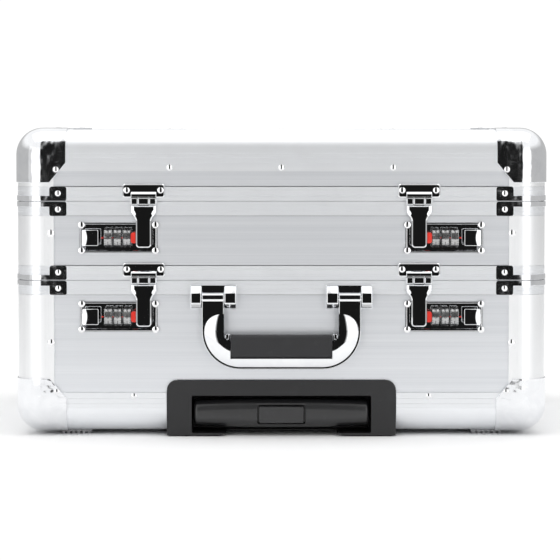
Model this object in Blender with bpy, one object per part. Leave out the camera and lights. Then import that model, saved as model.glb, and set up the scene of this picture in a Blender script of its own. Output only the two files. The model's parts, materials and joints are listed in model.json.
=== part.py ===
"""Wheeled aluminium attache case: a base, a middle tray and a lid, hinged at the back and latched at the front.

The case lies on its large back face. +Z is up through base, tray and lid, -Y is the side that carries the
locks and handles, and X is the long side. Lengths are in millimetres and become metres in new_mesh.
"""

import math
from itertools import product

import bmesh
import bpy
from mathutils import Matrix, Vector

MM = 0.001

# Driving dimensions of the body
WIDTH = 458.0
DEPTH = 355.0
HEIGHT = 261.5
TRAY_SEAM = 131.2  # base below, tray above
LID_SEAM = 199.4  # tray below, lid above
EDGE_R = 22.0
FLOOR_DROP = 4.0  # the feet and wheels reach this far below the body

HALF_W = WIDTH / 2
FRONT = -DEPTH / 2
BACK = DEPTH / 2
TOUCH = 0.3  # between pieces that touch
SEAM_GAP = 0.3  # from a seam to the tier on each side of it

# Sheet, extrusion and panel sections
SKIN = 1.3
PANEL_IN = SKIN + TOUCH
PANEL_T = 4.0
MOUTH_H = 12.4
MOUTH_T = 7.5
WINDOW_TRIM = 0.3  # skin left along each mouth frame when the panel openings are cut
TONGUE_IN = 3.0
TONGUE_T = 1.6
TONGUE_H = 2.5
GROOVE_SLACK = 0.6
EDGE_FLAT = 33.5  # edge extrusion, across the large faces
BASE_EDGE_UP = 33.9
LID_EDGE_DOWN = 36.2
POST_FLANGE = 32.6

# Chrome corners
CHROME_T = 1.0
CORNER_KNEE = 29.0
CORNER_REACH = Vector((43.4, 43.4, 46.0))

# Locks: distances run from the lock's outer end towards the middle of the case
LOCK_END_X = 176.3
LOCK_L = 71.5
LOCK_H = 30.4
LOCK_DROP = 31.4  # from a seam down to the lock's middle
LOCK_FACE = 1.2
LOCK_PLATE_T = 1.0
LOCK_BOX_L = 66.0
LOCK_BOX_H = 25.0
LOCK_BOX_D = 14.0
DIALS_AT = (26.7, 34.9, 43.1)
DIAL_W = 5.9
DIAL_R = 8.5
DIAL_DEPTH = 5.0
DIAL_BORE_R = 1.7
SPINDLE_W = 2.0
THUMB_AT = 11.6
THUMB_L = 14.2
THUMB_H = 13.8
THUMB_TRAVEL = 3.0
RESET_AT = 48.5
RESET_L = 4.2
RESET_H = 9.4
RESET_TRAVEL = 2.0
HASP_AT = 57.6

# Hasps
HASP_BACK = 1.7
HASP_T = 2.2
HASP_PIN_OUT = 3.2
HASP_KNUCKLE_R = 2.6
HASP_PIN_R = 1.2
HASP_KNUCKLE_L = 7.0
HASP_DROP = 39.9
HASP_NARROW = 6.5
HASP_WIDE = 10.75
HASP_PLATE_L = 36.6
HASP_PLATE_LOW = 3.0
HASP_PLATE_H = 12.2
HASP_PLATE_T = 1.5

# Rear hinges, whose knuckles are part of the mouth frames
HINGE_X = 130.0
HINGE_L = 60.0
HINGE_OUT = 3.6
HINGE_R = 3.0
HINGE_PIN_R = 1.35
HINGE_BORE_R = 1.65
KNUCKLES = 5

# Carry handle
BAIL_PIVOT_Z = 116.0
BAIL_OUT = 8.0
BAIL_EYE_R = 5.2
BAIL_IN = 49.5
BAIL_EDGE = 68.3
BAIL_LOW = 55.2
BAIL_CORNER_R = 33.0
BAIL_T = 8.0
GRIP_HALF = 43.5
GRIP_LOW = 64.8
GRIP_HIGH = 84.6
GRIP_T = 15.0
BRACKET_IN = 38.3
BRACKET_EDGE = 78.7
BRACKET_LOW = 106.4
BRACKET_HIGH = 127.3
BRACKET_T = 2.0
BAIL_PIN_R = 2.0

# Telescopic handle
HOUSING_HALF = 99.0
HOUSING_LOW = -3.0
HOUSING_HIGH = 44.8
HOUSING_FACE = 1.5
HOUSING_D = 48.0
RECESS_HALF = 77.6
RECESS_LOW = -1.2
RECESS_HIGH = 31.3
RECESS_D = 44.0
FINGER_HALF = 44.0
FINGER_D = 36.0
TUBE_X = 65.0
TUBE_Z = 15.0
OUTER_TUBE = (22.0, 12.0)
MIDDLE_TUBE = (19.0, 9.5)
INNER_TUBE = (16.0, 7.0)
TUBE_WALL = 1.0
BRIDGE_D = 6.0  # crosspiece of the middle tubes
BAR_D = 7.5  # crosspiece of the inner tubes, set in the grip's back
TUBE_BACK = BACK - 16.0
PULL_HALF = 75.5
PULL_LOW = 3.2
PULL_HIGH = 28.0
PULL_FACE = 0.5
PULL_D = 21.0
KEY_HALF = 20.5
KEY_LOW = 6.8
KEY_HIGH = 22.9
KEY_POCKET = 11.0
KEY_TRAVEL = 4.0

# Wheels and feet
WHEEL_R = 25.0
WHEEL_W = 20.0
WHEEL_X = 215.0
WHEEL_Z = WHEEL_R - FLOOR_DROP
WHEEL_BOX_IN = 200.0
WHEEL_BOX_OUT = 230.0
WHEEL_BOX_D = 48.0
WHEEL_BOX_H = 50.0
WHEEL_WELL_W = 23.0
WHEEL_CLEAR = 2.0
AXLE_R = 2.4
AXLE_BORE_R = 2.7
LOBE_R = 12.0
FOOT_IN = 165.5
FOOT_OUT = 191.0
FOOT_L = 30.0
LID_FOOT_X = 150.0
LID_FOOT_Z = 229.0
LID_FOOT_R = 10.0

# How far the object reaches in front of and behind the body, which centres its box on the frame's origin
FRONT_REACH = BAIL_OUT + GRIP_T / 2
BACK_REACH = WHEEL_R
Y_SHIFT = (FRONT_REACH - BACK_REACH) / 2

MATERIALS = {  # name: base colour, metallic, roughness
    "brushed_aluminium": ((0.80, 0.82, 0.85), 1.0, 0.38),
    "aluminium_extrusion": ((0.84, 0.86, 0.88), 1.0, 0.30),
    "chrome": ((0.88, 0.89, 0.90), 1.0, 0.08),
    "polished_steel": ((0.78, 0.79, 0.80), 1.0, 0.22),
    "black_plastic": ((0.030, 0.030, 0.032), 0.0, 0.48),
    "grip_plastic": ((0.045, 0.045, 0.048), 0.0, 0.55),
    "dial_metal": ((0.70, 0.70, 0.71), 1.0, 0.35),
    "red_plastic": ((0.75, 0.05, 0.03), 0.0, 0.40),
    "foot_plastic": ((0.62, 0.63, 0.64), 0.0, 0.60),
    "wheel_rubber": ((0.05, 0.05, 0.055), 0.0, 0.70),
}


# ---------------------------------------------------------------- making objects


def clear_scene():
    for obj in list(bpy.data.objects):
        bpy.data.objects.remove(obj)


def make_materials():
    made = {}
    for name, (colour, metallic, roughness) in MATERIALS.items():
        material = bpy.data.materials.new(name)
        material.use_nodes = True
        shader = material.node_tree.nodes["Principled BSDF"]
        shader.inputs["Base Color"].default_value = (*colour, 1.0)
        shader.inputs["Metallic"].default_value = metallic
        shader.inputs["Roughness"].default_value = roughness
        made[name] = material
    return made


class Body:
    """A rigid group of pieces: an empty on the joint's axis that its pieces are parented to."""

    def __init__(self, name, pivot, parent=None):
        self.pivot = Vector(pivot)
        self.empty = bpy.data.objects.new(name + "_axis", None)
        bpy.context.scene.collection.objects.link(self.empty)
        offset = Vector((0.0, Y_SHIFT, FLOOR_DROP))
        if parent:
            self.empty.parent = parent.empty
            offset = -parent.pivot
        self.empty.location = (self.pivot + offset) * MM


def new_mesh(name, bm, origin):
    bmesh.ops.recalc_face_normals(bm, faces=bm.faces)
    for vert in bm.verts:
        vert.co = (vert.co - origin) * MM
    mesh = bpy.data.meshes.new(name)
    bm.to_mesh(mesh)
    bm.free()
    return mesh


def new_part(name, bm, material, body, pivot=None):
    """An object in metres, whose origin is its own joint's axis or, with none given, its body's."""
    origin = Vector(pivot) if pivot else body.pivot
    obj = bpy.data.objects.new(name, new_mesh(name, bm, origin))
    obj.data.materials.append(materials[material])
    obj.parent = body.empty
    obj.location = (origin - body.pivot) * MM
    bpy.context.scene.collection.objects.link(obj)
    return obj


def boolean(obj, bm, operation):
    """Joins a second shape to an object, or cuts it out, with a hidden guide object."""
    guide = bpy.data.objects.new(obj.name + "_" + operation.lower(), new_mesh("guide", bm, Vector()))
    guide.hide_render = True
    guide.display_type = "WIRE"
    guide.location = Vector((0.0, Y_SHIFT, FLOOR_DROP)) * MM
    bpy.context.scene.collection.objects.link(guide)
    modifier = obj.modifiers.new(operation, "BOOLEAN")
    modifier.operation = operation
    modifier.solver = "EXACT"
    modifier.object = guide


def smooth(obj, degrees=40):
    obj.data.shade_smooth()
    obj.data.set_sharp_from_angle(angle=math.radians(degrees))


# ---------------------------------------------------------------- shapes


def at(axis, along, u, v):
    """A point given along one axis and on the plane of the other two, in X, Y, Z order."""
    if axis == "X":
        return Vector((along, u, v))
    if axis == "Y":
        return Vector((u, along, v))
    return Vector((u, v, along))


def add_box(bm, x, y, z):
    """A box between pairs of limits."""
    low = Vector((min(x), min(y), min(z)))
    high = Vector((max(x), max(y), max(z)))
    bmesh.ops.create_cube(bm, size=1.0, matrix=Matrix.LocRotScale((low + high) / 2, None, high - low))


def add_cone(bm, axis, centre, length, radius_low, radius_high, sides):
    turn = {"X": Matrix.Rotation(math.pi / 2, 4, "Y"), "Y": Matrix.Rotation(-math.pi / 2, 4, "X"), "Z": Matrix()}
    place = Matrix.Translation(centre) @ turn[axis]
    bmesh.ops.create_cone(
        bm, cap_ends=True, segments=sides, radius1=radius_low, radius2=radius_high, depth=length, matrix=place
    )


def add_rod(bm, axis, centre, length, radius, sides=12):
    add_cone(bm, axis, centre, length, radius, radius, sides)


def add_prism(bm, axis, low, high, outline):
    """An outline on the plane across an axis, extruded between two places on it."""
    face = bm.faces.new([bm.verts.new(at(axis, low, u, v)) for u, v in outline])
    grown = bmesh.ops.extrude_face_region(bm, geom=[face])["geom"]
    moved = [item for item in grown if isinstance(item, bmesh.types.BMVert)]
    bmesh.ops.translate(bm, verts=moved, vec=at(axis, high - low, 0.0, 0.0))


def add_blocks(bm, blocks):
    """One faceted body from boxes added and taken away in turn: each block is solid or not, and its limits."""
    lines = [sorted({round(limit, 4) for block in blocks for limit in block[k + 1]}) for k in range(3)]
    counts = [len(line) - 1 for line in lines]
    verts = {}

    def solid(cell):
        if any(not 0 <= cell[k] < counts[k] for k in range(3)):
            return False
        middle = [(lines[k][cell[k]] + lines[k][cell[k] + 1]) / 2 for k in range(3)]
        state = False
        for block in blocks:
            if all(min(block[k + 1]) < middle[k] < max(block[k + 1]) for k in range(3)):
                state = block[0]
        return state

    def vert(corner):
        if corner not in verts:
            verts[corner] = bm.verts.new([lines[k][corner[k]] for k in range(3)])
        return verts[corner]

    for cell in product(*(range(count) for count in counts)):
        if not solid(cell):
            continue
        for k, step in product(range(3), (0, 1)):
            beyond = list(cell)
            beyond[k] += 1 if step else -1
            if solid(beyond):
                continue
            a = (k + 1) % 3
            b = (k + 2) % 3
            ring = []
            for da, db in ((0, 0), (1, 0), (1, 1), (0, 1)):
                corner = list(cell)
                corner[k] += step
                corner[a] += da
                corner[b] += db
                ring.append(vert(tuple(corner)))
            bm.faces.new(ring)


def add_ring(bm, axis, low, high, centre, outer, inner, sides):
    """A round tube along an axis."""
    loops = []
    for along, radius in ((low, outer), (high, outer), (high, inner), (low, inner)):
        turns = [2 * math.pi * k / sides for k in range(sides)]
        points = [(centre[0] + radius * math.cos(a), centre[1] + radius * math.sin(a)) for a in turns]
        loops.append([bm.verts.new(at(axis, along, u, v)) for u, v in points])
    bridge(bm, list(zip(loops, loops[1:] + loops[:1])))


def bridge(bm, pairs):
    """Quads between the two closed rows of vertices in each pair."""
    for row, after in pairs:
        for k in range(len(row)):
            other = (k + 1) % len(row)
            bm.faces.new([row[k], row[other], after[other], after[k]])


def corner_arc(radius, steps):
    """Points of a quarter circle of this radius round a corner, as distances in from its two sides."""
    turns = [math.pi / 2 * k / steps for k in range(steps + 1)]
    return [(radius - radius * math.sin(a), radius - radius * math.cos(a)) for a in turns]


def rounded_rectangle(inset, steps=4):
    """The body's plan outline drawn in by a distance, corner by corner."""
    radius = max(EDGE_R - inset, 0.2)
    points = []
    for sx, sy in ((-1, -1), (1, -1), (1, 1), (-1, 1)):
        arc = corner_arc(radius, steps)
        if sx * sy > 0:
            arc.reverse()
        points += [(sx * (HALF_W - inset - a), sy * (BACK - inset - b)) for a, b in arc]
    return points


def add_band(bm, section, capped=False):
    """A section swept round the whole body, as inset and height; a capped one closes over the middle."""
    loops = []
    for inset, z in section:
        loops.append([bm.verts.new((x, y, z)) for x, y in rounded_rectangle(inset)])
    pairs = list(zip(loops, loops[1:]))
    if capped:
        bm.faces.new(loops[0])
        bm.faces.new(loops[-1])
    else:
        pairs.append((loops[-1], loops[0]))
    bridge(bm, pairs)


def edge_arc(top, radius, steps=4):
    """The rounded edge between a wall and a large face, as inset and height, from the wall to the face."""
    turns = [math.pi / 2 * k / steps for k in range(steps + 1)]
    rise = -1 if top else 1
    foot = HEIGHT if top else 0.0
    return [
        (EDGE_R - radius * math.cos(a), foot + rise * (EDGE_R - radius * math.sin(a))) for a in turns
    ]


def add_ball_corner(bm, sx, sy, sz, steps=3):
    """A chrome cap over one corner of the body: a round nose with a chamfered leg on each face."""
    corner = Vector((sx * HALF_W, sy * BACK, HEIGHT if sz > 0 else 0.0))
    toward = Vector((-sx, -sy, -sz))
    turns = [math.pi / 4 * (1 - k / steps) for k in range(steps + 1)]
    nose = [EDGE_R * (1 - math.tan(a)) for a in turns]
    lines = [nose + [CORNER_KNEE, CORNER_REACH[k]] for k in range(3)]
    centre = Vector((EDGE_R,) * 3)
    verts = {}

    def vert(cube_point, radius):
        key = (tuple(round(c, 3) for c in cube_point), radius)
        if key not in verts:
            core = Vector([max(c, EDGE_R) for c in cube_point])
            out = (Vector(cube_point) - core).normalized()
            local = core + out * radius
            verts[key] = bm.verts.new(corner + Vector([t * c for t, c in zip(toward, local)]))
        return verts[key]

    near = EDGE_R + TOUCH
    far = near + CHROME_T
    edges = {}
    for normal in range(3):
        a = (normal + 1) % 3
        b = (normal + 2) % 3
        last = len(lines[a]) - 2
        for i in range(last + 1):
            for j in range(last + 1):
                cells = [(i, j), (i + 1, j), (i + 1, j + 1), (i, j + 1)]
                if i == last and j == last:
                    cells.remove((i + 1, j + 1))
                ring = []
                for p, q in cells:
                    point = [0.0, 0.0, 0.0]
                    point[a] = lines[a][p]
                    point[b] = lines[b][q]
                    ring.append(tuple(point))
                bm.faces.new([vert(point, far) for point in ring])
                bm.faces.new([vert(point, near) for point in ring])
                for p, q in zip(ring, ring[1:] + ring[:1]):
                    key = frozenset((tuple(round(c, 3) for c in p), tuple(round(c, 3) for c in q)))
                    edges.setdefault(key, []).append((p, q))
    for uses in edges.values():
        if len(uses) == 1:
            p, q = uses[0]
            bm.faces.new([vert(p, near), vert(q, near), vert(q, far), vert(p, far)])


def add_turned(bm, centre, stations, sides=12):
    """A round bar along X that changes radius: stations are pairs of place along it and radius."""
    rows = []
    for along, radius in stations:
        turns = [2 * math.pi * k / sides for k in range(sides)]
        rows.append(
            [
                bm.verts.new((centre[0] + along, centre[1] + radius * math.cos(a), centre[2] + radius * math.sin(a)))
                for a in turns
            ]
        )
    for row, after in zip(rows, rows[1:]):
        for k in range(sides):
            other = (k + 1) % sides
            bm.faces.new([row[k], row[other], after[other], after[k]])
    bm.faces.new(rows[0])
    bm.faces.new(rows[-1])


def span(middle, size):
    return (middle - size / 2, middle + size / 2)


def side_name(sx):
    return "left" if sx < 0 else "right"


def mirrored(limits, sx):
    return tuple(sorted(sx * limit for limit in limits))


# ---------------------------------------------------------------- shells and frames


def mouth_bottom(low):
    """The underside of a frame, with the groove that takes the tongue below it, from outside to inside."""
    near = TONGUE_IN - GROOVE_SLACK
    far = TONGUE_IN + TONGUE_T + GROOVE_SLACK
    roof = low + TONGUE_H + GROOVE_SLACK
    return [(0.0, low), (near, low), (near, roof), (far, roof), (far, low), (MOUTH_T, low)]


def mouth_top(high):
    """The top of a frame, with its tongue, from inside to outside."""
    far = TONGUE_IN + TONGUE_T
    tip = high + TONGUE_H
    return [(MOUTH_T, high), (far, high), (far, tip), (TONGUE_IN, tip), (TONGUE_IN, high), (0.0, high)]


def add_windows(bm, low, high):
    """Cutters for the panel openings between the corner posts of a frame, on all four sides."""
    deep = SKIN + 2.0
    for side in (-1, 1):
        y = sorted((side * (BACK + 5.0), side * (BACK - deep)))
        add_box(bm, (-HALF_W + POST_FLANGE, HALF_W - POST_FLANGE), y, (low, high))
        x = sorted((side * (HALF_W + 5.0), side * (HALF_W - deep)))
        add_box(bm, x, (FRONT + POST_FLANGE, BACK - POST_FLANGE), (low, high))


def add_lock_holes(bm, seam):
    """Cutters for the two lock openings in a front panel."""
    for sx in (-1, 1):
        middle = sx * (LOCK_END_X - LOCK_L / 2)
        z = seam - LOCK_DROP
        add_box(bm, span(middle, LOCK_BOX_L + 1.0), (FRONT - 5.0, FRONT + EDGE_R), span(z, LOCK_BOX_H + 1.0))


def add_corner_housings(bm):
    """Cutters for the telescopic handle's housing and the two wheel housings."""
    half = HOUSING_HALF + TOUCH
    add_box(bm, (-half, half), (FRONT - 5.0, FRONT + HOUSING_D + TOUCH), (-10.0, HOUSING_HIGH + TOUCH))
    for sx in (-1, 1):
        x = mirrored((WHEEL_BOX_IN - TOUCH, HALF_W + 10.0), sx)
        y = (BACK - WHEEL_BOX_D - TOUCH, BACK + 10.0)
        add_box(bm, x, y, (-10.0, WHEEL_BOX_H + TOUCH))


def make_shell(name, body, section, cutters):
    shell = bmesh.new()
    add_band(shell, section, capped=True)
    obj = new_part(name, shell, "brushed_aluminium", body)
    for add in cutters:
        cutter = bmesh.new()
        add(cutter)
        boolean(obj, cutter, "DIFFERENCE")


def make_frame(name, body, section, cutters, knuckles):
    """A tier's frame of extrusions: posts, edges and mouths in one, with its halves of the rear hinges."""
    frame = bmesh.new()
    add_band(frame, section)
    obj = new_part(name, frame, "aluminium_extrusion", body)
    for add in cutters:
        cutter = bmesh.new()
        add(cutter)
        boolean(obj, cutter, "DIFFERENCE")
    for add in knuckles:
        extra = bmesh.new()
        add(extra)
        boolean(obj, extra, "UNION")
    smooth(obj, 30)


def add_hinge_bars(bm, seam):
    """The lower tier's outer knuckles, with the pin that passes through the other tier's knuckles."""
    pitch = HINGE_L / KNUCKLES
    for sx in (-1, 1):
        stations = []
        for number in range(0, KNUCKLES, 2):
            low = (number - KNUCKLES / 2) * pitch
            if number:
                stations.append((low + TOUCH, HINGE_PIN_R))
            stations += [(low + TOUCH, HINGE_R), (low + pitch - TOUCH, HINGE_R)]
            if number < KNUCKLES - 1:
                stations.append((low + pitch - TOUCH, HINGE_PIN_R))
        add_turned(bm, (sx * HINGE_X, BACK + HINGE_OUT, seam), stations)


def add_hinge_rings(bm, seam):
    """The upper tier's two bored knuckles of each hinge."""
    pitch = HINGE_L / KNUCKLES
    for sx in (-1, 1):
        for number in range(1, KNUCKLES, 2):
            middle = sx * HINGE_X + (number - (KNUCKLES - 1) / 2) * pitch
            ends = span(middle, pitch - 2 * TOUCH)
            add_ring(bm, "X", *ends, (BACK + HINGE_OUT, seam), HINGE_R, HINGE_BORE_R, 12)


def add_hinge_webs(bm, seam, side):
    """The webs that carry a tier's knuckles, above the seam for side 1 and below it for -1."""
    pitch = HINGE_L / KNUCKLES
    first = 0 if side < 0 else 1
    for sx in (-1, 1):
        for number in range(first, KNUCKLES, 2):
            middle = sx * HINGE_X + (number - (KNUCKLES - 1) / 2) * pitch
            z = sorted((seam + side * 1.0, seam + side * 6.0))
            add_box(bm, span(middle, pitch - 3 * TOUCH), (BACK - 1.0, BACK + 1.9), z)


def make_base_shell(base):
    top = TRAY_SEAM - SEAM_GAP
    wall_high = TRAY_SEAM - MOUTH_H - TOUCH
    outer = edge_arc(False, EDGE_R - PANEL_IN)
    inner = edge_arc(False, EDGE_R - PANEL_IN - PANEL_T)
    shell = [*outer[::-1], (PANEL_IN, wall_high), (PANEL_IN + PANEL_T, wall_high), *inner]
    make_shell("base_shell", base, shell, [add_corner_housings, lambda bm: add_lock_holes(bm, TRAY_SEAM)])

    mouth_low = TRAY_SEAM - MOUTH_H
    frame = [
        (EDGE_FLAT, 0.0),
        *edge_arc(False, EDGE_R)[::-1],
        *mouth_top(top)[::-1],
        (MOUTH_T, mouth_low),
        (SKIN, mouth_low),
        *edge_arc(False, EDGE_R - SKIN),
        (EDGE_FLAT, SKIN),
    ]
    make_frame(
        "base_frame",
        base,
        frame,
        [lambda bm: add_windows(bm, BASE_EDGE_UP, mouth_low - WINDOW_TRIM), add_corner_housings],
        [lambda bm: add_hinge_bars(bm, TRAY_SEAM), lambda bm: add_hinge_webs(bm, TRAY_SEAM, -1)],
    )
    for sx in (-1, 1):
        chrome = bmesh.new()
        add_ball_corner(chrome, sx, -1, -1)
        smooth(new_part(f"base_corner_{side_name(sx)}", chrome, "chrome", base))


def make_feet(base):
    step = HALF_W - CORNER_REACH.x - TOUCH
    under_corner = -2 * TOUCH - CHROME_T
    for sx in (-1, 1):
        outline = [
            (sx * FOOT_IN, -TOUCH),
            (sx * FOOT_IN, -FLOOR_DROP),
            (sx * FOOT_OUT, -FLOOR_DROP),
            (sx * FOOT_OUT, under_corner),
            (sx * step, under_corner),
            (sx * step, -TOUCH),
        ]
        foot = bmesh.new()
        add_prism(foot, "Y", FRONT + EDGE_R + 2.0, FRONT + EDGE_R + 2.0 + FOOT_L, outline)
        new_part(f"base_foot_{side_name(sx)}", foot, "foot_plastic", base)


def make_tray_shell(tray):
    low = TRAY_SEAM + SEAM_GAP
    top = LID_SEAM - SEAM_GAP
    wall_low = TRAY_SEAM + MOUTH_H + 2 * TOUCH
    wall_high = LID_SEAM - MOUTH_H - TOUCH
    inside = PANEL_IN + PANEL_T
    shell = [(PANEL_IN, wall_low), (PANEL_IN, wall_high), (inside, wall_high), (inside, wall_low + PANEL_T)]
    make_shell("tray_shell", tray, shell, [lambda bm: add_lock_holes(bm, LID_SEAM)])

    ledge = wall_low - TOUCH
    mouth_low = LID_SEAM - MOUTH_H
    frame = [
        *mouth_bottom(low),
        (MOUTH_T, ledge),
        (SKIN, ledge),
        (SKIN, mouth_low),
        (MOUTH_T, mouth_low),
        *mouth_top(top),
    ]
    make_frame(
        "tray_frame",
        tray,
        frame,
        [lambda bm: add_windows(bm, ledge + WINDOW_TRIM, mouth_low - WINDOW_TRIM)],
        [
            lambda bm: add_hinge_bars(bm, LID_SEAM),
            lambda bm: add_hinge_webs(bm, LID_SEAM, -1),
            lambda bm: add_hinge_rings(bm, TRAY_SEAM),
            lambda bm: add_hinge_webs(bm, TRAY_SEAM, 1),
        ],
    )


def make_lid_shell(lid):
    low = LID_SEAM + SEAM_GAP
    wall_low = LID_SEAM + MOUTH_H + 2 * TOUCH
    outer = edge_arc(True, EDGE_R - PANEL_IN)
    inner = edge_arc(True, EDGE_R - PANEL_IN - PANEL_T)
    shell = [*outer[::-1], (PANEL_IN, wall_low), (PANEL_IN + PANEL_T, wall_low), *inner]
    make_shell("lid_shell", lid, shell, [])

    ledge = wall_low - TOUCH
    frame = [
        *mouth_bottom(low),
        (MOUTH_T, ledge),
        (SKIN, ledge),
        *edge_arc(True, EDGE_R - SKIN),
        (EDGE_FLAT, HEIGHT - SKIN),
        (EDGE_FLAT, HEIGHT),
        *edge_arc(True, EDGE_R)[::-1],
    ]
    make_frame(
        "lid_frame",
        lid,
        frame,
        [lambda bm: add_windows(bm, ledge + WINDOW_TRIM, HEIGHT - LID_EDGE_DOWN)],
        [
            lambda bm: add_hinge_rings(bm, LID_SEAM),
            lambda bm: add_hinge_webs(bm, LID_SEAM, 1),
            add_lid_feet,
        ],
    )
    for sx in (-1, 1):
        for sy in (-1, 1):
            chrome = bmesh.new()
            add_ball_corner(chrome, sx, sy, 1)
            place = "front" if sy < 0 else "back"
            smooth(new_part(f"lid_corner_{place}_{side_name(sx)}", chrome, "chrome", lid))


def add_lid_feet(bm):
    """Two feet on the lid's back that keep the upright case level with its wheels."""
    for sx in (-1, 1):
        tall = BACK_REACH + 0.8
        centre = (sx * LID_FOOT_X, BACK + BACK_REACH - tall / 2, LID_FOOT_Z)
        add_cone(bm, "Y", centre, tall, LID_FOOT_R, LID_FOOT_R * 0.75, 16)


# ---------------------------------------------------------------- locks and hasps


def lock_x(sx, distance):
    return sx * (LOCK_END_X - distance)


def lock_span(sx, low, high):
    return mirrored((LOCK_END_X - high, LOCK_END_X - low), sx)


def make_lock_case(name, body, sx, z):
    face = FRONT - LOCK_FACE
    plate_back = face + LOCK_PLATE_T
    plate = (face, plate_back)
    rim = (LOCK_L - LOCK_BOX_L) / 2
    box_back = FRONT + LOCK_BOX_D + 1.3
    works_back = FRONT + LOCK_BOX_D
    works_low = DIALS_AT[0] - DIAL_W / 2 - TOUCH
    works_high = RESET_AT + RESET_L / 2 + TOUCH
    stem = lock_span(sx, THUMB_AT - 3.3 - THUMB_TRAVEL, THUMB_AT + 3.3)
    blocks = [
        (True, lock_span(sx, 0.0, LOCK_L), plate, span(z, LOCK_H)),
        (True, lock_span(sx, rim, LOCK_L - rim), (plate_back, box_back), span(z, LOCK_BOX_H)),
        (False, lock_span(sx, works_low, works_high), (plate_back, works_back), span(z, 18.0)),
        (False, stem, (face, FRONT + 8.0), span(z, 7.6)),
        (False, lock_span(sx, HASP_AT - 2.6, HASP_AT + 2.6), plate, (z - 7.0, z + LOCK_H / 2)),
    ]
    for place in DIALS_AT:
        low = place - DIAL_W / 2 - TOUCH
        blocks.append((False, lock_span(sx, low, low + DIAL_W + 2 * TOUCH), plate, span(z, 14.2)))
    reset = lock_span(sx, RESET_AT - RESET_L / 2 - TOUCH, works_high)
    blocks.append((False, reset, plate, (z - RESET_H / 2 - TOUCH, z + RESET_H / 2 + RESET_TRAVEL + TOUCH)))
    spindle_y = span(FRONT + DIAL_DEPTH, SPINDLE_W)
    blocks.append((True, lock_span(sx, works_low, RESET_AT - RESET_L / 2 - TOUCH), spindle_y, span(z, SPINDLE_W)))
    case = bmesh.new()
    add_blocks(case, blocks)
    new_part(name, case, "chrome", body)


def make_thumb_button(name, body, sx, z):
    face = FRONT - LOCK_FACE
    u = lock_x(sx, THUMB_AT)
    cap = [
        (u - THUMB_L / 2, face - TOUCH),
        (u - THUMB_L / 2, face - 1.1),
        (u - THUMB_L / 4, face - 2.3),
        (u + THUMB_L / 4, face - 2.3),
        (u + THUMB_L / 2, face - 1.1),
        (u + THUMB_L / 2, face - TOUCH),
    ]
    thumb = bmesh.new()
    add_prism(thumb, "Z", z - THUMB_H / 2, z + THUMB_H / 2, cap)
    button = new_part(name, thumb, "chrome", body, (u, face, z))
    stem = bmesh.new()
    add_box(stem, span(u, 6.0), (face - 1.0, FRONT + 6.0), span(z, 7.0))
    boolean(button, stem, "UNION")


def make_locks(tier, body, seam):
    """The two locks below a seam: each has a case, three dials, a thumb button and a reset slider."""
    z = seam - LOCK_DROP
    face = FRONT - LOCK_FACE
    for sx in (-1, 1):
        name = f"{tier}_{side_name(sx)}"
        make_lock_case(f"{name}_lock_case", body, sx, z)
        for number, place in enumerate(DIALS_AT, 1):
            centre = (lock_x(sx, place), FRONT + DIAL_DEPTH, z)
            dial = bmesh.new()
            add_ring(dial, "X", *span(centre[0], DIAL_W), centre[1:], DIAL_R, DIAL_BORE_R, 16)
            smooth(new_part(f"{name}_dial_{number}", dial, "dial_metal", body, centre))
        make_thumb_button(f"{name}_lock_button", body, sx, z)
        slider = bmesh.new()
        x = span(lock_x(sx, RESET_AT), RESET_L)
        add_box(slider, x, (face - 0.6, FRONT + 4.0), span(z, RESET_H))
        new_part(f"{name}_reset_slider", slider, "red_plastic", body, (lock_x(sx, RESET_AT), face, z))


def make_hasp_plate(name, body, x, seam):
    pin_y = FRONT - HASP_PIN_OUT
    plate_front = FRONT - TOUCH - HASP_PLATE_T
    low = seam + HASP_PLATE_LOW
    plate = bmesh.new()
    add_box(plate, span(x, HASP_PLATE_L), (plate_front, FRONT - TOUCH), (low, low + HASP_PLATE_H))
    obj = new_part(name, plate, "chrome", body)
    arms = bmesh.new()
    arm = [
        (pin_y - 1.0, seam),
        (FRONT - 0.8, seam),
        (FRONT - 0.8, low + 1.0),
        (plate_front - 0.6, low + 1.0),
    ]
    for side in (-1, 1):
        add_prism(arms, "X", *span(x + side * (HASP_KNUCKLE_L + TOUCH), HASP_KNUCKLE_L), arm)
    boolean(obj, arms, "UNION")
    inner = HASP_KNUCKLE_L / 2 + TOUCH
    outer = inner + HASP_KNUCKLE_L
    bar = bmesh.new()
    half = [(inner, HASP_PIN_R), (inner, HASP_KNUCKLE_R), (outer, HASP_KNUCKLE_R)]
    add_turned(bar, (x, pin_y, seam), [(-along, radius) for along, radius in half[::-1]] + half)
    boolean(obj, bar, "UNION")


def make_hasp(name, body, x, seam):
    pin_y = FRONT - HASP_PIN_OUT
    half = [
        (HASP_WIDE, -4.0),
        (HASP_WIDE, -10.5),
        (HASP_NARROW, -14.5),
        (HASP_NARROW, 3.0 - HASP_DROP),
        (HASP_NARROW - 3.0, -HASP_DROP),
    ]
    outline = [(x + a, seam + b) for a, b in half] + [(x - a, seam + b) for a, b in half[::-1]]
    hasp = bmesh.new()
    add_prism(hasp, "Y", FRONT - HASP_BACK - HASP_T, FRONT - HASP_BACK, outline)
    piece = new_part(name, hasp, "chrome", body, (x, pin_y, seam))
    knuckle = bmesh.new()
    ends = span(x, HASP_KNUCKLE_L)
    add_ring(knuckle, "X", *ends, (pin_y, seam), HASP_KNUCKLE_R, HASP_PIN_R + 0.3, 12)
    web = bmesh.new()
    add_box(web, span(x, HASP_KNUCKLE_L - 0.4), (FRONT - 3.6, FRONT - 1.9), (seam - 5.0, seam - 1.75))
    staple = bmesh.new()
    add_box(staple, span(x, 4.0), (FRONT - HASP_BACK - 0.5, FRONT - 0.4), (seam - 37.0, seam - 30.0))
    for extra in (knuckle, web, staple):
        boolean(piece, extra, "UNION")


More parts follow.
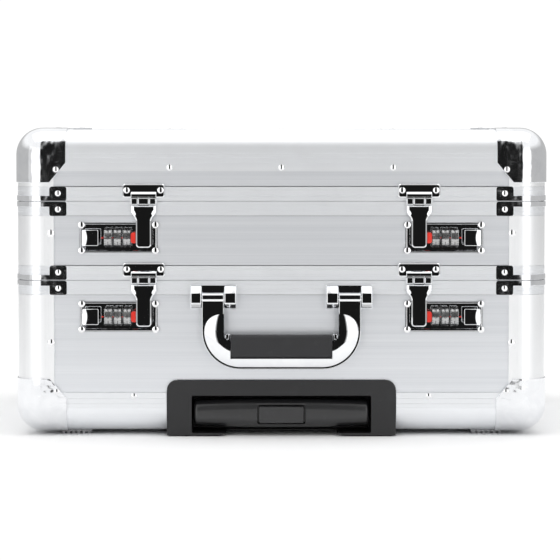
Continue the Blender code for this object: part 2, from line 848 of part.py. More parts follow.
def make_hasps(tier, body, seam):
    """Two hasps hanging from plates on the tier above a seam."""
    for sx in (-1, 1):
        x = lock_x(sx, HASP_AT)
        make_hasp_plate(f"{tier}_{side_name(sx)}_hasp_plate", body, x, seam)
        make_hasp(f"{tier}_{side_name(sx)}_hasp", body, x, seam)


# ---------------------------------------------------------------- carry handle


def make_bracket(name, base, sx):
    """A plate with two ears that the carry handle's eye turns between, and the pin through them."""
    pivot_y = FRONT - BAIL_OUT
    plate_front = FRONT - TOUCH - BRACKET_T
    plate = bmesh.new()
    x = mirrored((BRACKET_IN, BRACKET_EDGE), sx)
    add_box(plate, x, (plate_front, FRONT - TOUCH), (BRACKET_LOW, BRACKET_HIGH))
    obj = new_part(name, plate, "chrome", base)
    root = plate_front + BRACKET_T / 2
    tip = pivot_y - BAIL_EYE_R
    ear = [
        (root, BRACKET_LOW + 1.0),
        (root, BRACKET_HIGH - 1.0),
        (tip + 2.0, BAIL_PIVOT_Z + 6.5),
        (tip, BAIL_PIVOT_Z + 3.0),
        (tip, BAIL_PIVOT_Z - 3.0),
        (tip + 2.0, BAIL_PIVOT_Z - 6.5),
    ]
    ears = bmesh.new()
    add_prism(ears, "X", *mirrored((BRACKET_IN + 0.5, BAIL_IN - 0.4), sx), ear)
    add_prism(ears, "X", *mirrored((BAIL_EDGE + 0.4, BRACKET_EDGE - 0.5), sx), ear)
    boolean(obj, ears, "UNION")
    pin = bmesh.new()
    middle = sx * (BAIL_IN + BAIL_EDGE) / 2
    add_rod(pin, "X", (middle, pivot_y, BAIL_PIVOT_Z), BAIL_EDGE - BAIL_IN + 6.0, BAIL_PIN_R, 10)
    boolean(obj, pin, "UNION")


def make_bail(base):
    pivot_y = FRONT - BAIL_OUT
    top = BAIL_PIVOT_Z - 2.0
    corner = [(BAIL_EDGE - a, BAIL_LOW + b) for a, b in corner_arc(BAIL_CORNER_R, 6)[::-1]]
    right = [(BAIL_EDGE, top), *corner]
    inner = [
        (GRIP_HALF + TOUCH, GRIP_LOW - TOUCH),
        (GRIP_HALF + TOUCH, GRIP_HIGH),
        (BAIL_IN, GRIP_HIGH + 7.0),
        (BAIL_IN, top),
    ]
    outline = right + [(-x, z) for x, z in right[::-1]] + [(-x, z) for x, z in inner[::-1]] + inner
    bail = bmesh.new()
    add_prism(bail, "Y", pivot_y - BAIL_T / 2, pivot_y + BAIL_T / 2, outline)
    handle = new_part("carry_handle", bail, "chrome", base, (0.0, pivot_y, BAIL_PIVOT_Z))
    eyes = bmesh.new()
    bores = bmesh.new()
    for sx in (-1, 1):
        centre = (sx * (BAIL_IN + BAIL_EDGE) / 2, pivot_y, BAIL_PIVOT_Z)
        add_rod(eyes, "X", centre, BAIL_EDGE - BAIL_IN, BAIL_EYE_R, 16)
        add_rod(bores, "X", centre, BAIL_EDGE - BAIL_IN + 4.0, BAIL_PIN_R + 0.3, 10)
    boolean(handle, eyes, "UNION")
    boolean(handle, bores, "DIFFERENCE")


def make_carry_grip(base):
    pivot_y = FRONT - BAIL_OUT
    half = GRIP_T / 2
    cut = 4.0
    back = pivot_y + half - 0.5
    outline = [
        (pivot_y - half + cut, GRIP_LOW),
        (pivot_y - half, GRIP_LOW + cut),
        (pivot_y - half, GRIP_HIGH - cut),
        (pivot_y - half + cut, GRIP_HIGH),
        (back - cut, GRIP_HIGH),
        (back, GRIP_HIGH - cut),
        (back, GRIP_LOW + cut),
        (back - cut, GRIP_LOW),
    ]
    grip = bmesh.new()
    add_prism(grip, "X", -GRIP_HALF, GRIP_HALF, outline)
    smooth(new_part("carry_grip", grip, "grip_plastic", base, (0.0, pivot_y, BAIL_PIVOT_Z)), 50)


# ---------------------------------------------------------------- telescopic handle


def make_trolley_housing(base):
    face = FRONT - HOUSING_FACE
    back = FRONT + HOUSING_D
    corner = [(HOUSING_HALF - a, HOUSING_HIGH - b) for a, b in corner_arc(8.5, 4)[::-1]]
    outline = [(-HOUSING_HALF, HOUSING_LOW), (HOUSING_HALF, HOUSING_LOW), *corner]
    outline += [(-x, z) for x, z in corner[::-1]]
    block = bmesh.new()
    add_prism(block, "Y", face, back, outline)
    housing = new_part("trolley_housing", block, "black_plastic", base)
    recess = bmesh.new()
    add_box(recess, (-RECESS_HALF, RECESS_HALF), (face - 5.0, FRONT + RECESS_D), (RECESS_LOW, RECESS_HIGH))
    holes = bmesh.new()
    for sx in (-1, 1):
        x = span(sx * TUBE_X, MIDDLE_TUBE[0] + 1.0)
        add_box(holes, x, (back - 10.0, back + 5.0), span(TUBE_Z, MIDDLE_TUBE[1] + 1.0))
    fingers = bmesh.new()
    under = (HOUSING_LOW - 5.0, RECESS_LOW + 2.0)
    add_box(fingers, (-FINGER_HALF, FINGER_HALF), (face - 5.0, FRONT + FINGER_D), under)
    for cutter in (recess, holes, fingers):
        boolean(housing, cutter, "DIFFERENCE")


def tube_blocks(size, start, wall):
    """The two tubes of a stage, each solid and then its bore."""
    blocks = []
    for sx in (-1, 1):
        x = span(sx * TUBE_X, size[0])
        z = span(TUBE_Z, size[1])
        blocks.append((True, x, (start, TUBE_BACK), z))
    for sx in (-1, 1):
        x = span(sx * TUBE_X, size[0] - 2 * wall)
        blocks.append((False, x, (start, TUBE_BACK), span(TUBE_Z, size[1] - 2 * wall)))
    return blocks


def make_tubes(base, middle_stage, inner_stage):
    """Three telescoping pairs of tubes, each pair tied together by a crosspiece."""
    outer = tube_blocks(OUTER_TUBE, FRONT + HOUSING_D + TOUCH, TUBE_WALL)
    half = TUBE_X + OUTER_TUBE[0] / 2
    outer.append((True, (-half, half), (TUBE_BACK, TUBE_BACK + 3.0), span(TUBE_Z, OUTER_TUBE[1])))

    front = FRONT + RECESS_D - 0.5
    middle = tube_blocks(MIDDLE_TUBE, front - BRIDGE_D, TUBE_WALL)
    bridge_half = TUBE_X - MIDDLE_TUBE[0] / 2
    middle.append((True, (-bridge_half, bridge_half), (front - BRIDGE_D, front), span(TUBE_Z, MIDDLE_TUBE[1])))

    front = FRONT + PULL_D - BAR_D
    inner = tube_blocks(INNER_TUBE, front + BAR_D, TUBE_WALL)
    bar_half = TUBE_X + INNER_TUBE[0] / 2
    inner.append((True, (-bar_half, bar_half), (front, front + BAR_D), span(TUBE_Z, INNER_TUBE[1])))
    stages = (("outer", outer, base), ("middle", middle, middle_stage), ("inner", inner, inner_stage))
    for name, blocks, body in stages:
        tubes = bmesh.new()
        add_blocks(tubes, blocks)
        new_part(f"trolley_{name}_tubes", tubes, "polished_steel", body)


def make_trolley_grip(inner_stage):
    front = FRONT - PULL_FACE
    back = FRONT + PULL_D
    cut = 4.0
    section = [
        (front + cut, PULL_LOW),
        (front, PULL_LOW + cut),
        (front, PULL_HIGH - cut),
        (front + cut, PULL_HIGH),
        (back - cut, PULL_HIGH),
        (back, PULL_HIGH - cut),
        (back, PULL_LOW + cut),
        (back - cut, PULL_LOW),
    ]
    pull = bmesh.new()
    add_prism(pull, "X", -PULL_HALF, PULL_HALF, section)
    grip = new_part("trolley_grip", pull, "black_plastic", inner_stage)
    pocket = bmesh.new()
    pocket_z = (KEY_LOW - TOUCH, KEY_HIGH + TOUCH)
    add_box(pocket, (-KEY_HALF - TOUCH, KEY_HALF + TOUCH), (front - 5.0, FRONT + KEY_POCKET), pocket_z)
    groove = bmesh.new()
    half = TUBE_X + INNER_TUBE[0] / 2 + TOUCH
    add_box(groove, (-half, half), (back - BAR_D - TOUCH, back + 5.0), span(TUBE_Z, INNER_TUBE[1] + 2 * TOUCH))
    for cutter in (pocket, groove):
        boolean(grip, cutter, "DIFFERENCE")

    key = bmesh.new()
    key_face = front - 0.4
    key_back = FRONT + KEY_POCKET - KEY_TRAVEL - 1.0
    section = [
        (key_face, KEY_LOW + 1.5),
        (key_face, KEY_HIGH - 1.5),
        (key_face + 1.5, KEY_HIGH),
        (key_back, KEY_HIGH),
        (key_back, KEY_LOW),
        (key_face + 1.5, KEY_LOW),
    ]
    add_prism(key, "X", -KEY_HALF, KEY_HALF, section)
    new_part("trolley_button", key, "black_plastic", inner_stage, (0.0, key_face, (KEY_LOW + KEY_HIGH) / 2))


# ---------------------------------------------------------------- wheels


def make_wheels(base):
    front = BACK - WHEEL_BOX_D
    reach = WHEEL_R + WHEEL_CLEAR
    lobe = []
    for k in range(9):
        turn = math.radians(-90 + 22.5 * k)
        lobe.append((BACK + LOBE_R * math.cos(turn), WHEEL_Z + LOBE_R * math.sin(turn)))
    roof_edge = [(BACK, WHEEL_BOX_H - 6.0), (BACK - 6.0, WHEEL_BOX_H), (front, WHEEL_BOX_H)]
    outline = [(front, 0.0), (BACK, 0.0), *lobe, *roof_edge]
    roof = WHEEL_Z + reach
    well_outline = [(BACK - reach, -5.0), (BACK + reach, -5.0), (BACK + reach, roof), (BACK - reach, roof)]
    for sx in (-1, 1):
        box = bmesh.new()
        add_prism(box, "X", *mirrored((WHEEL_BOX_IN, WHEEL_BOX_OUT), sx), outline)
        housing = new_part(f"wheel_housing_{side_name(sx)}", box, "black_plastic", base)
        well = bmesh.new()
        add_prism(well, "X", *span(sx * WHEEL_X, WHEEL_WELL_W), well_outline)
        boolean(housing, well, "DIFFERENCE")
        axle = bmesh.new()
        centre = (sx * WHEEL_X, BACK, WHEEL_Z)
        add_rod(axle, "X", centre, WHEEL_WELL_W + 4.0, AXLE_R, 12)
        boolean(housing, axle, "UNION")
        wheel = bmesh.new()
        add_ring(wheel, "X", *span(centre[0], WHEEL_W), centre[1:], WHEEL_R, AXLE_BORE_R, 28)
        smooth(new_part(f"wheel_{side_name(sx)}", wheel, "wheel_rubber", base, centre))


def main():
    hinge_y = BACK + HINGE_OUT
    base = Body("base", (0.0, 0.0, 0.0))
    tray = Body("tray", (0.0, hinge_y, TRAY_SEAM), base)
    lid = Body("lid", (0.0, hinge_y, LID_SEAM), tray)
    middle_stage = Body("trolley_middle", (0.0, FRONT, TUBE_Z), base)
    inner_stage = Body("trolley_inner", (0.0, FRONT, TUBE_Z), middle_stage)
    make_base_shell(base)
    make_feet(base)
    make_tray_shell(tray)
    make_lid_shell(lid)
    make_locks("base", base, TRAY_SEAM)
    make_locks("tray", tray, LID_SEAM)
    make_hasps("tray", tray, TRAY_SEAM)
    make_hasps("lid", lid, LID_SEAM)
    for sx in (-1, 1):
        make_bracket(f"handle_bracket_{side_name(sx)}", base, sx)
    make_bail(base)
    make_carry_grip(base)
    make_trolley_housing(base)
    make_tubes(base, middle_stage, inner_stage)
    make_trolley_grip(inner_stage)
    make_wheels(base)


clear_scene()
materials = make_materials()
main()
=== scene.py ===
"""Looks for the wheeled aluminium attache case: finer visible pieces and finishes round its fixed frame.

Lengths are in metres. X runs along the long side, -Y faces the locks and handles, and Z is up.
"""

import json
import math

import bmesh
import bpy
from mathutils import Matrix, Vector


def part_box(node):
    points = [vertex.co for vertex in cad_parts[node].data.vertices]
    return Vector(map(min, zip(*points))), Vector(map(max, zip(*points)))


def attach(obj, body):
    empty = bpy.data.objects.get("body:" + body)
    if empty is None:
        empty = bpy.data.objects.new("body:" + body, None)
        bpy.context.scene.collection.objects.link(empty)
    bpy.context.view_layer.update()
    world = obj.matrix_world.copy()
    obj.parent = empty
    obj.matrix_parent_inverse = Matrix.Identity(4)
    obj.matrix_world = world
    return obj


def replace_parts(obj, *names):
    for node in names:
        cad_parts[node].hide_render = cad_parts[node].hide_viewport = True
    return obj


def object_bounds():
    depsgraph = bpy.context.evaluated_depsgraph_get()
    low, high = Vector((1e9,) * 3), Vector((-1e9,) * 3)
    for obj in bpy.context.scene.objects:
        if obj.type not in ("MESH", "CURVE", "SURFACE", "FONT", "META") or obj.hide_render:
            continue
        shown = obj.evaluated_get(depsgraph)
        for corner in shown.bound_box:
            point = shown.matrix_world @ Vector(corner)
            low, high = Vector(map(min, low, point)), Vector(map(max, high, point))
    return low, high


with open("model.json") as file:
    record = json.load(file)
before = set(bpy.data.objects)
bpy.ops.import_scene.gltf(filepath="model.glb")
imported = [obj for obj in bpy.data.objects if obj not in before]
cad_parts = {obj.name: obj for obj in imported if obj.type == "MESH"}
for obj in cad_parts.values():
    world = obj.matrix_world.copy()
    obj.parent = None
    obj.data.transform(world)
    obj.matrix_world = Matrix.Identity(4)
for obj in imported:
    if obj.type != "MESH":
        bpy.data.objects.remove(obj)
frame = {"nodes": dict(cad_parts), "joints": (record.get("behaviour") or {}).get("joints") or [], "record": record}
CAD_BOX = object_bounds()
bpy.ops.object.select_all(action="DESELECT")

MM = 0.001
SIDES = (("left", -1), ("right", 1))

# The body's faces, seams and extrusion edges, from the frame
JOINTS = {joint["name"]: joint for joint in frame["joints"]}
BASE_LOW, BASE_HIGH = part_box("base_frame")
RIGHT = BASE_HIGH.x
FRONT = BASE_LOW.y
FLOOR = BASE_LOW.z
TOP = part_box("lid_frame")[1].z
MIDDLE_Y = sum(corner.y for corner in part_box("tray_shell")) / 2
HALF_D = MIDDLE_Y - FRONT
BACK = MIDDLE_Y + HALF_D
TRAY_SEAM = JOINTS["tray_hinge"]["pos_m"][2]
LID_SEAM = JOINTS["lid_hinge"]["pos_m"][2]
EDGE_R = 22 * MM
SKIN = 1.3 * MM
SEAM_GAP = 0.3 * MM
MOUTH_H = 12.4 * MM
MOUTH_T = 7.5 * MM
EDGE_FLAT = 33.5 * MM
BASE_EDGE_UP = 33.9 * MM
LID_EDGE_DOWN = 36.2 * MM
POST_FLANGE = 32.6 * MM


# ---------------------------------------------------------------- modelling helpers


def let_go():
    if bpy.context.mode != "OBJECT":
        bpy.ops.object.mode_set(mode="OBJECT")
    bpy.ops.object.select_all(action="DESELECT")


def take(piece):
    """Makes a piece the only selected one and the active one."""
    let_go()
    piece.select_set(True)
    bpy.context.view_layer.objects.active = piece


def settle(name):
    """Names the new primitive and puts its place in its mesh."""
    piece = bpy.context.active_object
    piece.name = name
    piece.data.name = name
    bpy.ops.object.transform_apply(location=True, rotation=True, scale=True)
    return piece


def add_block(name, low, high):
    let_go()
    low = Vector(low)
    high = Vector(high)
    bpy.ops.mesh.primitive_cube_add(size=1, location=(low + high) / 2, scale=high - low)
    return settle(name)


def add_disc(name, centre, radius, length, axis="Y", sides=32):
    """A cylinder along one axis, as a start for a round piece."""
    let_go()
    turns = {"X": (0, math.pi / 2, 0), "Y": (math.pi / 2, 0, 0), "Z": (0, 0, 0)}
    bpy.ops.mesh.primitive_cylinder_add(
        vertices=sides, radius=radius, depth=length, location=centre, rotation=turns[axis]
    )
    return settle(name)


def choose(piece, kind, test):
    """Edit mode, with what passes a test of its middle and its normal or direction selected."""
    take(piece)
    bpy.ops.object.mode_set(mode="EDIT")
    bpy.ops.mesh.select_mode(type=kind)
    bpy.ops.mesh.select_all(action="DESELECT")
    bm = bmesh.from_edit_mesh(piece.data)
    if kind == "FACE":
        for face in bm.faces:
            if test(face.calc_center_median(), face.normal):
                face.select_set(True)
    elif kind == "EDGE":
        for edge in bm.edges:
            start, end = (vert.co for vert in edge.verts)
            if test((start + end) / 2, (end - start).normalized()):
                edge.select_set(True)
    else:
        for vert in bm.verts:
            if test(vert.co, vert.normal):
                vert.select_set(True)
    bm.select_flush_mode()
    bmesh.update_edit_mesh(piece.data)


def everything(place, normal):
    return True


def faces_front(place, normal):
    return normal.y < -0.9


def upright(middle, direction):
    return abs(direction.z) > 0.99


def along_x(middle, direction):
    return abs(direction.x) > 0.99


def along_y(middle, direction):
    return abs(direction.y) > 0.99


def along_y_and(where):
    """The edges along Y whose middle also passes a test."""
    return lambda middle, direction: along_y(middle, direction) and where(middle)


def round_edges(piece, test, radius, segments=3):
    choose(piece, "EDGE", test)
    bpy.ops.mesh.bevel(offset=radius, segments=segments, affect="EDGES")
    let_go()


def remove(piece, kind, test):
    choose(piece, kind, test)
    bpy.ops.mesh.delete(type=kind)
    let_go()


def cut(piece, point, normal, drop=False, fill=False):
    """Cuts along a plane; drop takes away what lies on the side that the normal points to."""
    choose(piece, "FACE", everything)
    bpy.ops.mesh.bisect(
        plane_co=point, plane_no=normal, use_fill=fill, clear_inner=False, clear_outer=drop
    )
    let_go()


def push(piece, test, move):
    choose(piece, "VERT", test)
    bpy.ops.transform.translate(value=move)
    let_go()


def raise_face(piece, test, rim, height, direction=(0, -1, 0)):
    """Insets the chosen faces as one and moves them out, which leaves a sloped rim."""
    choose(piece, "FACE", test)
    bpy.ops.mesh.inset(thickness=rim, use_even_offset=True)
    bpy.ops.transform.translate(value=Vector(direction) * height)
    let_go()


def press(piece, test, depth):
    """Extrudes the chosen faces along their normals, inwards for a depth above zero."""
    choose(piece, "FACE", test)
    bpy.ops.mesh.extrude_region_shrink_fatten(
        MESH_OT_extrude_region={}, TRANSFORM_OT_shrink_fatten={"value": -depth}
    )
    let_go()


def thicken(piece, thickness):
    """Gives an open skin a wall on its inner side."""
    take(piece)
    wall = piece.modifiers.new("wall", "SOLIDIFY")
    wall.thickness = thickness
    wall.offset = -1.0
    wall.use_even_offset = True
    bpy.ops.object.modifier_apply(modifier=wall.name)


def soften(piece, width, segments=2, degrees=35):
    take(piece)
    edge = piece.modifiers.new("soft edge", "BEVEL")
    edge.width = width
    edge.segments = segments
    edge.limit_method = "ANGLE"
    edge.angle_limit = math.radians(degrees)
    edge.harden_normals = False
    bpy.ops.object.modifier_apply(modifier=edge.name)


def cut_out(piece, cutters, solver="EXACT"):
    """Takes other shapes out of a piece."""
    for cutter in cutters:
        take(piece)
        hole = piece.modifiers.new("hole", "BOOLEAN")
        hole.operation = "DIFFERENCE"
        hole.solver = solver
        hole.object = cutter
        bpy.ops.object.modifier_apply(modifier=hole.name)
        bpy.data.objects.remove(cutter)


def tidy_normals(piece):
    choose(piece, "FACE", everything)
    bpy.ops.mesh.remove_doubles(threshold=0.00001)
    bpy.ops.mesh.normals_make_consistent(inside=False)
    let_go()


def join(main, others):
    take(main)
    for other in others:
        other.select_set(True)
    bpy.ops.object.join()
    return main


def copy_of(piece, name, matrix):
    """A copy with its own mesh, moved, turned or mirrored in its mesh."""
    twin = piece.copy()
    twin.data = piece.data.copy()
    twin.name = name
    bpy.context.scene.collection.objects.link(twin)
    twin.data.transform(matrix)
    if matrix.determinant() < 0:
        twin.data.flip_normals()
    return twin


def discard(*patterns):
    for pattern in patterns:
        bpy.data.objects.remove(pattern)


def finish_piece(piece, material, body, degrees=35):
    """Smooth shading with true flats, a finish, and the body that the piece rides on."""
    take(piece)
    bpy.ops.object.shade_smooth_by_angle(angle=math.radians(degrees))
    flats = piece.modifiers.new("true flats", "WEIGHTED_NORMAL")
    flats.weight = 80
    flats.keep_sharp = True
    bpy.ops.object.modifier_apply(modifier=flats.name)
    let_go()
    piece.data.materials.clear()
    piece.data.materials.append(material)
    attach(piece, body)
    return piece


# ---------------------------------------------------------------- finishes


def node(tree, kind, inputs=None, **settings):
    """A shader node whose inputs are values or other nodes' outputs."""
    made = tree.nodes.new("ShaderNode" + kind)
    for name, value in settings.items():
        setattr(made, name, value)
    for name, value in (inputs or {}).items():
        if isinstance(value, bpy.types.NodeSocket):
            tree.links.new(value, made.inputs[name])
        else:
            made.inputs[name].default_value = value
    return made


def new_group(name, inputs, outputs):
    group = bpy.data.node_groups.new(name, "ShaderNodeTree")
    for label, kind, value in inputs:
        socket = group.interface.new_socket(label, in_out="INPUT", socket_type="NodeSocket" + kind)
        if value is not None:
            socket.default_value = value
    for label, kind in outputs:
        group.interface.new_socket(label, in_out="OUTPUT", socket_type="NodeSocket" + kind)
    return group, group.nodes.new("NodeGroupInput").outputs, group.nodes.new("NodeGroupOutput").inputs


def make_drawn_lines():
    """Fine lines along a drawn or brushed metal, from a place that is stretched along them."""
    group, given, out = new_group(
        "drawn_lines",
        [("Place", "Vector", None), ("Strength", "Float", 0.5)],
        [("Tone", "Float"), ("Height", "Float")],
    )
    fine = node(group, "TexNoise", {"Vector": given["Place"], "Scale": 1.0, "Detail": 3.0, "Roughness": 0.7})
    broad = node(group, "VectorMath", {0: given["Place"], 1: (0.5, 0.13, 0.13)}, operation="MULTIPLY")
    wide = node(group, "TexNoise", {"Vector": broad.outputs[0], "Scale": 1.0, "Detail": 2.0})
    both = node(group, "Math", {0: fine.outputs["Fac"], 1: wide.outputs["Fac"]}, operation="ADD")
    centred = node(group, "Math", {0: both.outputs[0], 1: 1.0}, operation="SUBTRACT")
    scaled = node(group, "Math", {0: centred.outputs[0], 1: given["Strength"]}, operation="MULTIPLY")
    group.links.new(scaled.outputs[0], out["Tone"])
    group.links.new(fine.outputs["Fac"], out["Height"])
    return group


def make_grain():
    """The fine grain of moulded plastic, with a few brighter scuffs."""
    group, given, out = new_group(
        "moulded_grain",
        [("Place", "Vector", None), ("Scale", "Float", 2500.0)],
        [("Height", "Float"), ("Scuffs", "Float")],
    )
    pits = node(group, "TexVoronoi", {"Vector": given["Place"], "Scale": given["Scale"]})
    soft = node(
        group, "TexNoise", {"Vector": given["Place"], "Scale": 90.0, "Detail": 6.0, "Roughness": 0.65}
    )
    marks = node(group, "MapRange", {"Value": soft.outputs["Fac"], "From Min": 0.56, "From Max": 0.72})
    group.links.new(pits.outputs["Distance"], out["Height"])
    group.links.new(marks.outputs[0], out["Scuffs"])
    return group


def make_handling_marks():
    """Faint smears and hairline scratches on plated metal."""
    group, given, out = new_group(
        "handling_marks",
        [("Place", "Vector", None)],
        [("Smears", "Float"), ("Waves", "Float"), ("Scratches", "Float")],
    )
    place = given["Place"]
    smears = node(group, "TexNoise", {"Vector": place, "Scale": 60.0, "Detail": 5.0, "Distortion": 1.2})
    waves = node(group, "TexNoise", {"Vector": place, "Scale": 120.0, "Detail": 1.0, "Roughness": 0.4})
    stretched = node(group, "VectorMath", {0: place, 1: (60.0, 900.0, 420.0)}, operation="MULTIPLY")
    lines = node(group, "TexNoise", {"Vector": stretched.outputs[0], "Scale": 1.0, "Detail": 1.0})
    scratches = node(group, "MapRange", {"Value": lines.outputs["Fac"], "From Min": 0.66, "From Max": 0.74})
    group.links.new(smears.outputs["Fac"], out["Smears"])
    group.links.new(waves.outputs["Fac"], out["Waves"])
    group.links.new(scratches.outputs[0], out["Scratches"])
    return group


DRAWN_LINES = make_drawn_lines()
GRAIN = make_grain()
HANDLING = make_handling_marks()


def new_material(name, metallic=0.0, **constants):
    made = bpy.data.materials.new(name)
    made.use_nodes = True
    shader = made.node_tree.nodes["Principled BSDF"]
    shader.inputs["Metallic"].default_value = metallic
    for label, value in constants.items():
        shader.inputs[label.replace("_", " ")].default_value = value
    return made, made.node_tree, shader


def ramp_colour(tree, factor, low, high, span=(0.0, 1.0)):
    """A colour between two, by a value within a span."""
    made = node(tree, "ValToRGB", {"Fac": factor})
    made.color_ramp.elements[0].position = span[0]
    made.color_ramp.elements[0].color = (*low, 1)
    made.color_ramp.elements[1].position = span[1]
    made.color_ramp.elements[1].color = (*high, 1)
    return made.outputs["Color"]


def ramp_value(tree, factor, low, high, span=(0.0, 1.0)):
    """A value that goes from low to high while the factor crosses a span."""
    ends = {"From Min": span[0], "From Max": span[1], "To Min": low, "To Max": high}
    return node(tree, "MapRange", {"Value": factor, **ends}).outputs[0]


def put(tree, shader, colour=None, roughness=None, height=None, strength=0.2, depth=0.0002):
    """Links changing values to the shader."""
    if colour:
        tree.links.new(colour, shader.inputs["Base Color"])
    if roughness:
        tree.links.new(roughness, shader.inputs["Roughness"])
    if height:
        bump = node(tree, "Bump", {"Height": height, "Strength": strength, "Distance": depth})
        tree.links.new(bump.outputs["Normal"], shader.inputs["Normal"])


def use(tree, group, inputs):
    made = node(tree, "Group", node_tree=group)
    for name, value in inputs.items():
        if isinstance(value, bpy.types.NodeSocket):
            tree.links.new(value, made.inputs[name])
        else:
            made.inputs[name].default_value = value
    return made.outputs


def drawn_metal(name, stretch, low, high, roughness, strength, bump):
    """Aluminium whose fine lines run along the axis that the stretch has smallest."""
    made, tree, shader = new_material(name, metallic=1.0)
    place = node(tree, "TexCoord").outputs["Object"]
    along = node(tree, "VectorMath", {0: place, 1: stretch}, operation="MULTIPLY")
    lines = use(tree, DRAWN_LINES, {"Place": along.outputs[0], "Strength": strength})
    marks = use(tree, HANDLING, {"Place": place})
    tone = node(tree, "Math", {0: lines["Tone"], 1: 0.5}, operation="ADD").outputs[0]
    put(
        tree,
        shader,
        ramp_colour(tree, tone, low, high),
        ramp_value(tree, marks["Smears"], roughness - 0.008, roughness + 0.012, (0.3, 0.7)),
        lines["Height"],
        bump,
        0.0001,
    )
    return made


def ring_metal(name, low, high, roughness, strength, bump):
    """Aluminium extrusion whose lines follow the outline of the case, all round it."""
    made, tree, shader = new_material(name, metallic=1.0)
    place = node(tree, "TexCoord").outputs["Object"]
    centred = node(tree, "VectorMath", {0: place, 1: (0.0, MIDDLE_Y, 0.0)}, operation="SUBTRACT")
    absolute = node(tree, "VectorMath", {0: centred.outputs[0]}, operation="ABSOLUTE")
    past = node(tree, "VectorMath", {0: absolute.outputs[0], 1: (RIGHT, HALF_D, 0.0)}, operation="SUBTRACT")
    parts = node(tree, "SeparateXYZ", {0: past.outputs[0]})
    inset = node(tree, "Math", {0: parts.outputs["X"], 1: parts.outputs["Y"]}, operation="MAXIMUM")
    height = node(tree, "SeparateXYZ", {0: place})
    across = node(tree, "CombineXYZ", {"X": 1.0, "Y": inset.outputs[0], "Z": height.outputs["Z"]})
    along = node(tree, "VectorMath", {0: across.outputs[0], 1: (1.0, 900.0, 900.0)}, operation="MULTIPLY")
    lines = use(tree, DRAWN_LINES, {"Place": along.outputs[0], "Strength": strength})
    marks = use(tree, HANDLING, {"Place": place})
    tone = node(tree, "Math", {0: lines["Tone"], 1: 0.5}, operation="ADD").outputs[0]
    put(
        tree,
        shader,
        ramp_colour(tree, tone, low, high),
        ramp_value(tree, marks["Smears"], roughness - 0.008, roughness + 0.008, (0.3, 0.7)),
        lines["Height"],
        bump,
        0.0001,
    )
    return made


def plated_metal(name, low, high, roughness, waves, depth):
    """Chrome or bright steel, with faint smears, and waves where it is stamped thin."""
    made, tree, shader = new_material(name, metallic=1.0)
    place = node(tree, "TexCoord").outputs["Object"]
    marks = use(tree, HANDLING, {"Place": place})
    worn = node(tree, "Math", {0: marks["Smears"], 1: marks["Scratches"]}, operation="ADD").outputs[0]
    put(
        tree,
        shader,
        ramp_colour(tree, marks["Smears"], low, high, (0.3, 0.7)),
        ramp_value(tree, worn, roughness * 0.6, roughness * 1.8, (0.3, 1.4)),
        marks["Waves"],
        waves,
        depth,
    )
    return made


def moulded(name, low, high, roughness, scale, bump, **constants):
    """Plastic or rubber with a fine grain and a few scuffs."""
    made, tree, shader = new_material(name, **constants)
    place = node(tree, "TexCoord").outputs["Object"]
    grain = use(tree, GRAIN, {"Place": place, "Scale": scale})
    put(
        tree,
        shader,
        ramp_colour(tree, grain["Scuffs"], low, high),
        ramp_value(tree, grain["Scuffs"], roughness, roughness + 0.10),
        grain["Height"],
        bump,
        0.0001,
    )
    return made


def flocked(name, low, high):
    """Short black pile on the linings."""
    made, tree, shader = new_material(name, Sheen_Weight=0.35, Sheen_Roughness=0.5)
    place = node(tree, "TexCoord").outputs["Object"]
    pile = node(tree, "TexNoise", {"Vector": place, "Scale": 1400.0, "Detail": 4.0, "Roughness": 0.8})
    nap = node(tree, "TexNoise", {"Vector": place, "Scale": 30.0, "Detail": 3.0})
    mixed = node(tree, "Math", {0: pile.outputs["Fac"], 1: nap.outputs["Fac"]}, operation="MULTIPLY")
    put(
        tree,
        shader,
        ramp_colour(tree, mixed.outputs[0], low, high, (0.1, 0.5)),
        ramp_value(tree, pile.outputs["Fac"], 0.85, 1.0),
        pile.outputs["Fac"],
        0.6,
        0.0004,
    )
    return made


